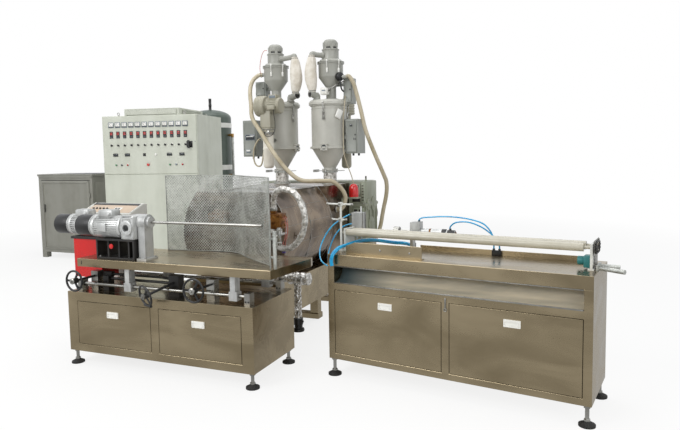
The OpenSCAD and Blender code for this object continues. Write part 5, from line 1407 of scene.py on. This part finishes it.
def makeConsole(s):
    y0, z0 = s["front"]
    y1, z1 = s["back"]
    place = Matrix.Translation((s["x"][0], y0, z0)) @ Matrix.Rotation(math.atan2(z1 - z0, y1 - y0), 4, "X")
    wide, deep = s["x"][1] - s["x"][0], math.hypot(y1 - y0, z1 - z0)
    panel = addBox((s["bezel"], 0.012, -0.002), (wide - s["bezel"], deep - 0.036, 0.003), 0.001)
    finishPiece("console_panel", [panel], "white_enamel", "beigePanel", place)
    marks = [addBox((0.014, deep - 0.034, -0.002), (wide - 0.014, deep - 0.004, 0.004), 0.001)]
    marks += [addBox((x, 0.062, 0.004), (x + 0.018, 0.08, 0.0085), 0.001) for x in (0.3, 0.33)]
    marks += [addBar((0.07 + 0.036*i, 0.07, 0.002), (0.07 + 0.036*i, 0.07, 0.012), 0.009, 20, 0.001) for i in range(5)]
    finishPiece("console_marks", marks, "white_enamel", "black_plastic", place)
    rims = [addBox((0.286, 0.05, 0.001), (0.364, 0.092, 0.006), 0.002)]
    rims += [addBox((x, 0.004, -0.004), (x + 0.008, deep, 0.008), 0.002) for x in (0.004, wide - 0.012)]
    finishPiece("console_display", rims, "white_enamel", "white_plastic", place)


makeConsole(consoleSettings)

# side cabinet: framed front with a sunk door, handle, and painted shade as a dark strip in the slot under the top
sideSettings = {"at": (-5.2, 2.53), "width": 1.09, "depth": 0.6, "height": 1.308}


def makeSideCabinet(s):
    x0, y = s["at"]
    x1, back, top = x0 + s["width"], y + s["depth"], s["height"]
    door = addBox((x0 + 0.075, y - 0.014, 0.14), (x1 - 0.06, y - 0.0005, top - 0.1), 0.004)
    sinkFaces(door, lambda c, n: n.y < -0.9, 0.03, 0, 0.006, 0)
    parts = [door, addBox((x0 + 0.01, y - 0.012, top - 0.055), (x1 - 0.01, y - 0.0005, top - 0.012), 0.004),
             addBox((x1 - 0.002, y + 0.06, 0.18), (x1 + 0.006, back - 0.06, top - 0.12), 0.003)]
    for z in (0.35, 0.95):
        parts.append(addBar((x1 - 0.05, y - 0.012, z), (x1 - 0.05, y - 0.012, z + 0.07), 0.008, 16, 0.002))
    finishPiece("side_cabinet_door", parts, "side_enamel")
    # the strip in the slot under the top is painted shade; the sheet on the top and the bar share this dark piece
    dark = [addBox((x0 + 0.06, y - 0.003, top - 0.098), (x1 - 0.05, y + 0.001, top - 0.09), 0.0005),
            addBox((x0 + 0.4, y + 0.05, top - 0.0005), (x1 - 0.02, back - 0.05, top + 0.003), 0.001),
            addBar((x0 + 0.13, y - 0.022, 0.72), (x0 + 0.13, y - 0.022, 0.84), 0.007, 14, 0.002)]
    finishPiece("side_cabinet_shade_and_dark_parts", dark, "side_enamel", "black_steel")


makeSideCabinet(sideSettings)
print("console and side cabinet")

# levelling feet: threaded steel stems with nuts
footSettings = {
    "winder": {"place": (-0.868, -1.053), "size": (1.6, 0.596), "inset": 0.035, "high": 0.105},
    "cutter": {"place": (0, 0), "size": (1.725, 0.519), "inset": 0.028, "high": 0.121},
}


def makeFeet(settings):
    for name, s in settings.items():
        x0, y0 = s["place"]
        inset, high, parts = s["inset"], s["high"], []
        thread = [(0.0112 + 0.0009*(k % 2), 0.03 + k*0.003) for k in range(int((high - 0.03)/0.003))]
        nuts = (((0.013, 0.028), (0.019, 0.03), (0.019, 0.04), (0.015, 0.043)),
                ((0.019, high - 0.016), (0.02, high - 0.014), (0.02, high - 0.001)))
        for x in (x0 + inset, x0 + s["size"][0] - inset):
            for y in (y0 + inset, y0 + s["size"][1] - inset):
                parts += [addTurned(thread, (x, y, 0), steps=20)] + [addTurned(nut, (x, y, 0), steps=6) for nut in nuts]
        finishPiece("foot_stems_" + name, parts, "rubber", "bright_steel", cutterPlace if name == "cutter" else None)


makeFeet(footSettings)

# chromed hubs and nuts of the handwheels, each at its place and along its own axis
wheelSettings = {
    "left": ((-0.694, -1.15, 0.663), (0, 1, 0)), "right": ((0.343, -1.15, 0.664), (0, 1, 0)),
    "middle": ((-0.055, -1.15, 0.6), (75, 190, 50)),
}


def makeHubs(s):
    for name, (at, way) in s.items():
        at, way = Vector(at), Vector(way).normalized()
        hub = addTurned(((0.021, 0), (0.022, 0.004), (0.022, 0.01), (0.016, 0.014), (0.01, 0.0145)),
                        at - way*0.012, -way, 32)
        nut = addBar(at - way*0.026, at - way*0.034, 0.009, 6, 0.001)
        finishPiece("hub_" + name, [hub, nut], "black_plastic", "bright_steel", body="wheel_" + name)


makeHubs(wheelSettings)
print("feet and handwheel hubs")

# roller chain of pins and link plates round both sprockets, toothed sprockets and a hub, in cutter bench place
chainSettings = {"x": 1.699, "y": (0.19, 0.274), "z": 0.99, "radius": 0.031, "pins": 34, "teeth": 16}


def chainPoint(s, share):
    y0, y1 = s["y"]
    r, span = s["radius"], y1 - y0
    total = 2*span + 2*math.pi*r
    at = share % 1*total
    if at < span:
        return Vector((0, y0 + at, s["z"] + r))
    at -= span
    if at < math.pi*r:
        a = math.pi/2 - at/r
        return Vector((0, y1 + r*math.cos(a), s["z"] + r*math.sin(a)))
    at -= math.pi*r
    if at < span:
        return Vector((0, y1 - at, s["z"] - r))
    a = -math.pi/2 - (at - span)/r
    return Vector((0, y0 + r*math.cos(a), s["z"] + r*math.sin(a)))


def makeChain(s):
    x, z = s["x"], s["z"]
    middle, half, links = Vector((x + 0.004, 0, 0)), Vector((0.008, 0, 0)), []
    for k in range(s["pins"]):
        a, b = middle + chainPoint(s, k/s["pins"]), middle + chainPoint(s, (k + 1)/s["pins"])
        side = Vector((0.007 if k % 2 else 0.0055, 0, 0))
        links.append(addBar(a - half, a + half, 0.0032, 10))
        links += [addBar(a + side*way, b + side*way, 0.0044, 8) for way in (-1, 1)]
    chain = finishPiece("roller_chain_links", links, "bright_steel", "black_steel", cutterPlace)
    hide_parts("roller_chain")
    low, high = s["y"]
    plate = [addBox((x + 0.001, low - 0.046, z - 0.046), (x + 0.003, high + 0.046, z + 0.046), 0.001),
             addBox((x + 0.002, 0.202, 0.86), (x + 0.006, 0.262, z - 0.036), 0.001)]
    plate += addBolts([(x + 0.003, y, z + 0.036) for y in (low - 0.036, high + 0.036)], 0.009, (1, 0, 0))
    finishPiece("chain_guide", plate, "bright_steel", place=cutterPlace)
    for k, body in enumerate(("roller_front", "roller_rear")):
        middle = Vector((x + 0.004, s["y"][k], z))
        teeth = []
        for i in range(s["teeth"]):
            out = onCircle((0, 0, 0), 1, 360*i/s["teeth"], "X")
            teeth.append(addBar(middle + out*0.022, middle + out*0.0325, 0.0035, 6, topRadius=0.0015))
        teeth.append(addTurned(((0.026, 0), (0.0265, 0.002), (0.0265, 0.005), (0.016, 0.006), (0.016, 0.014),
                                (0.01, 0.016)), (x + 0.001, s["y"][k], z), (1, 0, 0), 40))
        finishPiece("sprocket_teeth_%d" % (k + 1), teeth, "roller_sleeve", "black_steel", cutterPlace, body)
    finishPiece("roller_motor", [addBox((1.636, 0.196, 0.868), (1.674, 0.268, 0.938), 0.006),
                                 addBar((1.64, 0.232, 0.905), (1.6, 0.232, 0.905), 0.026, 28, 0.003)],
                "white_enamel", "tealPaint", cutterPlace)
    screws = []
    for x, way in ((0.034, -1), (1.691, 1)):
        screws += addBolts([(x, y, z) for y in (0.178, 0.286) for z in (0.885, 0.96)], 0.008, (way, 0, 0))
    finishPiece("stand_screws", screws, "white_enamel", "bright_steel", cutterPlace)


makeChain(chainSettings)
print("roller drive: chain, sprockets and motor")

# trough: curved sheet that cut pieces slide down, with painted shade at its left end where the bundle hangs and a
# painted highlight to the right
troughSettings = {"x": (0.054, 1.671), "profile": ((0.2, 0.776), (0.15, 0.77), (0.118, 0.748), (0.096, 0.712),
                                                    (0.07, 0.684), (0.03, 0.668), (0.003, 0.6655))}


def makeTrough(s):
    line = smoothLine([(0, y, z) for y, z in s["profile"]], 4)
    bpy.ops.mesh.primitive_grid_add(x_subdivisions=40, y_subdivisions=len(line) - 1, size=1)
    sheet = bpy.context.object
    wide = s["x"][1] - s["x"][0]
    for vertex in sheet.data.vertices:
        k = round((vertex.co.y + 0.5)*(len(line) - 1))
        warp = 0.0015*noise.noise(Vector((vertex.co.x*9, k*0.4, 0)))
        vertex.co = (s["x"][0] + (vertex.co.x + 0.5)*wide, line[k].y + warp, line[k].z + warp)
    facesOut()
    thicken(sheet, 0.0015)
    trough = finishPiece("trough_sheet", [sheet], "stainless", "troughSheetPaintedLight", cutterPlace, smooth=60)
    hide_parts("cutter_chute")
    finishPiece("trough_lips", [addBox((0.052, -0.002, 0.66), (1.673, 0.004, 0.668), 0.001),
                                addBox((0.052, -0.003, 0.776), (1.673, 0.002, 0.7815), 0.001)],
                "stainless", "bright_steel", cutterPlace)
    screws = [addBar((0.865, -0.004, 0.575), (0.865, -0.004, 0.646), 0.005, 14, 0.001),
              addRing((0.865, -0.005, 0.57), 0.009, 0.003, 24, 8, (0, 1, 0))]
    screws += [addBar((x, 0.0505, z), (x, 0.046, z), 0.007, 16, 0.001) for x, z in ((0.385, 0.902), (0.6, 0.898))]
    finishPiece("bench_screws", screws, "stainless", "bright_steel", cutterPlace)


makeTrough(troughSettings)

# cylinders: end caps, tie rods, fittings and the clamping knobs of the post
cylinderSettings = {
    "y": 0.39, "z": 1, "knobs": ((-0.08, 1.196), (0.11, 1.196), (-0.04, 1.086), (0.06, 1.086)),
    # turned caps: place along the push cylinder, sides, profile
    "caps": ((0.494, 28, ((0.02, 0), (0.024, 0.003), (0.024, 0.024), (0.02, 0.027))),
             (0.69, 28, ((0.016, 0), (0.024, 0.003), (0.024, 0.03), (0.019, 0.034))),
             (0.732, 20, ((0.019, 0), (0.02, 0.002), (0.02, 0.05), (0.014, 0.054)))),
}


def makeCylinders(s):
    def finish(name, parts, finishName, slotName="cast_aluminium"):
        finishPiece(name, parts, slotName, finishName, cutterPlace)

    y, z = s["y"], s["z"]
    caps = [addTurned(profile, (x, y, z), (1, 0, 0), steps) for x, steps, profile in s["caps"]]
    caps += [addBar((0.75, y, 1.012), (0.75, y, 1.03), 0.008, 6, 0.001),
             addBar((0.52, y, 1.066), (0.52, y, 1.078), 0.008, 6, 0.001)]
    finish("cylinder_caps", caps, "black_plastic")
    finish("cylinder_ring", [addTurned(((0.0225, 0), (0.0228, 0.012), (0.0225, 0.013)), (0.6, y, z), (1, 0, 0), 28),
                             addBar((0.786, y, z), (0.794, y, z), 0.006, 12, 0.001)], "heat_steel")
    rods = [addBar((x, y, 1), (x, y, 1.126), 0.0035, 10) for x in (0.03, 0.11) for y in (0.312, 0.356)]
    rods += [addTurned(((0.01, 0), (0.011, 0.002), (0.011, 0.01), (0.008, 0.012)), (x, 0.334, 0.87), steps=20)
             for x in (0.048, 0.084)]
    finish("lift_rods", rods, "bright_steel")
    finish("lift_fittings", [addBar((0.0215, y, z), (0.008, y, z), 0.0085, 6, 0.001)
                             for y, z in ((0.31, 1.105), (0.344, 1.034))], "black_plastic")
    knobs = [addTurned(((0.005, 0), (0.009, 0.002), (0.01, 0.01), (0.006, 0.014)), (x, 0.148, z),
                       (-1 if x < 0 else 1, 0, 0), 20) for x, z in s["knobs"]]
    for z in (1.086, 1.196):
        knobs += [addBar((0.024, 0.135, z), (0.024, 0.12, z), 0.005, 12, 0.001),
                  addBar((0.024, 0.124, z - 0.01), (0.024, 0.124, z + 0.01), 0.004, 10, 0.001)]
    finish("post_knobs", knobs, "bright_steel", "white_enamel")


makeCylinders(cylinderSettings)
print("trough and cylinders")

# winder: painted shade as a dark strip in a slot of the table's lip, screws of the rod blocks, red knob and bolts of
# the motor stand
winderSettings = {"tableLow": 0.75, "rodY": (-0.985, -0.545), "rail": (-0.8, 0.69), "rodZ": 0.61, "block": 0.042}


def makeWinderTrim(s):
    slot = addBox((-0.722, -1.0515, s["tableLow"] + 0.016), (-0.716, -1.049, s["tableLow"] + 0.044), 0.0005)
    finishPiece("table_slot_shade", [slot], "stainless", "black_steel", body="table")
    screws = []
    for y in s["rodY"]:
        for x in (s["rail"][0], s["rail"][1] - s["block"]):
            screws += addBolts([(x + a, y - 0.03, s["rodZ"] - 0.03) for a in (0.01, 0.032)], 0.009, (0, -1, 0))
            screws += addBolt((x + 0.021, y, s["rodZ"] + 0.028), 0.012)
            screws.append(addRing((x + (0.0425 if x < 0 else -0.0005), y, s["rodZ"]), 0.0145, 0.003, 28, 8, (1, 0, 0)))
    finishPiece("rail_screws", screws, "bright_steel", "black_steel")
    knob = addBar((-0.468, -1.012, 0.905), (-0.468, -1.004, 0.905), 0.018, 24, 0.002)
    finishPiece("stand_knob", [knob], "black_steel", "red_paint", body="table")
    bolts = addBolts([(x, y, 0.824) for x in (-0.59, -0.28) for y in (-0.99, -0.85)], 0.014)
    bolts += addBolts([(x, y, 0.824) for x in (-0.236, -0.18) for y in (-0.985, -0.875)], 0.012)
    finishPiece("stand_bolts", bolts, "black_steel", "bright_steel", body="table")


makeWinderTrim(winderSettings)
print("winder trim")

# reducers behind the drum: split castings with flanges, ribs, covers and terminal boxes, then the finned motors
extruderSettings = {"x": (0.02, 0.62), "y": (1.46, 1.88), "low": 0.64, "split": 1.01, "top": 1.26, "motorX": 0.3,
                    "motorZ": 0.86, "motorR": 0.19, "motorL": 0.4}


# boxes on one side of the middle plane
def sideBoxes(side, boxes):
    pieces = []
    for low, high, round in boxes:
        xs = sorted((side*low[0], side*high[0]))
        pieces.append(addBox((xs[0], *low[1:]), (xs[1], *high[1:]), round))
    return pieces


def makeReducers(s):
    x0, x1 = s["x"]
    y0, y1 = s["y"]
    low, split, top = s["low"], s["split"], s["top"]
    parts, dark, steel, covers = [], [], [], []
    for side in (1, -1):
        parts += sideBoxes(side, [((x0 + 0.012, y0 + 0.008, low), (x1 - 0.014, y1 - 0.006, top - 0.004), 0.012),
                                  ((x0, y0 + 0.002, low), (x1, y1, low + 0.026), 0.004),
                                  ((x0, y0 + 0.001, split - 0.014), (x1, y1, split + 0.014), 0.004),
                                  ((x0 + 0.03, y0 + 0.03, top - 0.012), (x1 - 0.04, y1 - 0.03, top), 0.003)])
        parts += sideBoxes(side, [((x1 - 0.02, y, low + 0.02), (x1 - 0.002, y + 0.016, split - 0.01), 0.003)
                                  for y in (y0 + 0.03, y0 + 0.15, y0 + 0.27, y1 - 0.046)])
        parts += sideBoxes(side, [((x, y0 + 0.001, low + 0.02), (x + 0.014, y0 + 0.014, split - 0.01), 0.003)
                                  for x in (x0 + 0.08, 0.46, 0.56)])
        for y, z, r in ((y0 + 0.125, 1.01, 0.062), (y0 + 0.29, 1.01, 0.078), (y0 + 0.21, 0.79, 0.088)):
            cap = ((r, 0), (r, 0.012), (r*0.9, 0.017), (r*0.5, 0.018), (r*0.45, 0.022), (r*0.2, 0.0225))
            parts.append(addTurned(cap, (side*(x1 - 0.018), y, z), (side, 0, 0), 40))
            ends = [onCircle((side*(x1 - 0.005), y, z), 0.82*r, 60*i + 20, "X") for i in range(6)]
            steel += addBolts(ends, 0.01, (side, 0, 0))
        steel += addBolts([(side*(x1 - 0.008), y0 + 0.03 + 0.06*k, split + 0.014) for k in range(7)], 0.013)
        steel += addBolts([(side*x, y0 + 0.008, split + 0.014) for x in (0.47, 0.53, 0.595)], 0.012)
        # terminal box and drive box on the casting's front, with dark plates as painted shade in their windows, vent
        # slots and the gap between them
        covers += sideBoxes(side, [((0.47, y0 - 0.004, 1.118), (0.566, y0 + 0.012, 1.236), 0.006),
                                   ((0.575, y0 - 0.002, 1.04), (0.612, y0 + 0.01, 1.246), 0.004),
                                   ((0.48, y0 - 0.003, 0.905), (0.6, y0 + 0.01, 0.985), 0.005)])
        dark += sideBoxes(side, [((0.486, y0 - 0.006, 1.15), (0.55, y0 - 0.0035, 1.222), 0.001),
                                 ((0.495, y0 - 0.005, 0.925), (0.532, y0 - 0.0025, 0.968), 0.001),
                                 ((0.548, y0 - 0.005, 0.925), (0.585, y0 - 0.0025, 0.968), 0.001),
                                 ((0.476, y0 + 0.004, 1.046), (0.56, y0 + 0.009, 1.098), 0.001)])
        dark += sideBoxes(side, [((0.584, y0 - 0.004, z), (0.604, y0 - 0.0015, z + 0.01), 0.0005)
                                 for z in (1.06, 1.09, 1.12, 1.15, 1.18, 1.21)])
    casting = finishPiece("reducer_castings", parts, "green_enamel")
    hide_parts("gear_reducers")
    finishPiece("reducer_boxes", covers, "green_enamel", "paleGreenBox")
    finishPiece("reducer_bolts", steel, "green_enamel", "bright_steel")
    finishPiece("reducer_window_shade", dark, "green_enamel", "black_steel")
    bodies, grilles = [], []
    z, r = s["motorZ"], s["motorR"]
    for x in (s["motorX"], -s["motorX"]):
        body = addBar((x, y1 + 0.024, z), (x, y1 + 0.28, z), r*0.92, 96)
        raiseFins(body, (x, y1, z), 96, 0.995/0.92, 1)
        bodies += [body, addBar((x, y1, z), (x, y1 + 0.026, z), r, 64, 0.004),
                   addTurned(((r*0.97, 0.276), (r, 0.28), (r, 0.372), (r*0.9, 0.394), (r*0.62, 0.398), (r*0.6, 0.388),
                              (r*0.2, 0.388)), (x, y1, z), (0, 1, 0), 64),
                   addBox((x - 0.13, y1 + 0.03, low), (x + 0.13, y1 + s["motorL"] - 0.04, low + 0.024), 0.005)]
        for y in (y1 + 0.06, y1 + 0.29):
            bodies.append(addBox((x - 0.115, y, low + 0.02), (x + 0.115, y + 0.03, z - 0.12), 0.006))
        middle = Vector((x, y1 + 0.394, z))
        grilles += [addRing(middle, r*k, 0.003, 40, 6, (0, 1, 0)) for k in (0.25, 0.38, 0.5)]
        grilles += [addBar(onCircle(middle, -r*0.6, a, "Y"), onCircle(middle, r*0.6, a, "Y"), 0.003, 6)
                    for a in (0, 45, 90, 135)]
    motors = finishPiece("drive_motor_shells", bodies, "black_steel", "brownMotor")
    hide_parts("drive_motors")
    finishPiece("drive_motor_grilles", grilles, "black_steel")


makeReducers(extruderSettings)
print("extruder end: reducers and motors")

# warning lamp: domed lens with ribs inside on a small bracket, and a knobbed stem on the casting
warningLampSettings = {"at": (0.555, 1.3), "radius": 0.048, "low": 1.104, "stem": (0.58, 1.6)}


def makeWarningLamp(s):
    x, y = s["at"]
    r = s["radius"]
    lens = [addTurned(((r, 0.006), (r, 0.085), (r*0.93, 0.108), (r*0.72, 0.128), (r*0.4, 0.139), (r*0.12, 0.141)),
                      (x, y, s["low"]))]
    lens += [addRing((x, y, s["low"] + z), r, 0.0014, 48, 6) for z in (0.03, 0.05, 0.07)]
    dome = finishPiece("lamp_dome", lens, "red_lens", smooth=70)
    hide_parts("warning_lamp")
    plate = [addBox((0.44, y - 0.056, 1.095), (x + 0.056, y + 0.056, 1.105), 0.002),
             addBar((x, y, 1.104), (x, y, 1.112), r + 0.003, 40, 0.001),
             addBox((0.44, y - 0.056, 1.06), (0.446, y + 0.056, 1.1), 0.001)]
    finishPiece("lamp_bracket", plate, "red_lens", "green_enamel")
    x, y = s["stem"]
    stem = addTurned(((0.016, 1.258), (0.016, 1.264), (0.009, 1.267), (0.009, 1.29)), (x, y, 0), steps=24)
    finishPiece("lever_stem", [stem], "red_lens", "green_enamel")
    knob = addTurned(((0.006, 1.286), (0.0085, 1.29), (0.009, 1.3), (0.0085, 1.309), (0.004, 1.312)), (x, y, 0),
                     steps=24)
    finishPiece("lever_knob", [knob], "red_lens", "brownMotor")


makeWarningLamp(warningLampSettings)

# air tank: pale bands over its seams, safety valve on the dome, brass elbow on its zinc pipe
tankSettings = {"at": (-2.766, 3.696), "radius": 0.32, "bands": ((1.33, 1.408), (1.985, 2.06)), "pipe": (1.23, 1.89),
                "out": 0.395, "top": 2.254}


def makeTankTrim(s):
    x, y = s["at"]
    r = s["radius"]
    bands = [addTurned(((r - 0.02, a), (r + 0.005, a + 0.001), (r + 0.0058, a + 0.006), (r + 0.0058, b - 0.006),
                        (r + 0.005, b - 0.001), (r - 0.02, b)), (x, y, 0), steps=96) for a, b in s["bands"]]
    finishPiece("tank_bands", bands, "tank_enamel", "white_enamel")
    valve = addTurned(((0.024, 0), (0.024, 0.024), (0.0215, 0.028), (0.0215, 0.07), (0.024, 0.074), (0.024, 0.104),
                       (0.0215, 0.11), (0.0215, 0.15), (0.0225, 0.154), (0.0225, 0.19), (0.012, 0.197)),
                      (x, y, s["top"]), steps=32)
    finishPiece("safety_valve", [valve], "tank_enamel", "black_steel")
    px, wall = x + s["out"], x + r
    low, high = s["pipe"]
    pipe = [addBar((px, y, low - 0.001), (px, y, high - 0.05), 0.0178, 28, 0.001)]
    pipe += [addBar((px, y, z - 0.012), (px, y, z + 0.012), 0.021, 28, 0.002)
             for z in (low + 0.02, low + 0.3, low + 0.52)]
    finishPiece("tank_pipe", pipe, "tank_enamel", "galvanised")
    elbow = [addBar((px, y, high - 0.056), (px, y, high + 0.002), 0.022, 8, 0.003),
             addBar((wall + 0.02, y, high - 0.02), (wall + 0.045, y, high - 0.02), 0.022, 6, 0.002)]
    elbow += [addBar((wall - 0.004, y, z), (px + 0.004, y, z), 0.0165, 28, 0.001) for z in (high - 0.02, low + 0.02)]
    finishPiece("tank_elbow", elbow, "tank_enamel", "brass")


makeTankTrim(tankSettings)
print("lamp and tank trim")

# folded and machined edges of the plain solids catch the light on a small radius
edgeWidths = {
    0.001: ["side_guard"], 0.0015: ["bench_panels", "cutter_table", "table_slide", "lift_cylinder"],
    0.002: ["motor_base", "drive_bracket"], 0.0025: ["winder_cabinet", "winder_table", "cutter_cabinet"],
    0.003: ["dryer_controls", "operator_console"], 0.004: ["control_cabinet", "side_cabinet", "extruder_base"],
}
for width, name in [(width, name) for width, names in edgeWidths.items() for name in names]:
    node = frame["nodes"][name]
    weld = node.modifiers.new("joinedFaces", "WELD")
    weld.merge_threshold = 0.00002
    edge = node.modifiers.new("roundedEdge", "BEVEL")
    edge.width = width
    edge.segments = 2
    edge.limit_method = "ANGLE"
    edge.angle_limit = math.radians(40)
print("edges of the plain solids rounded")
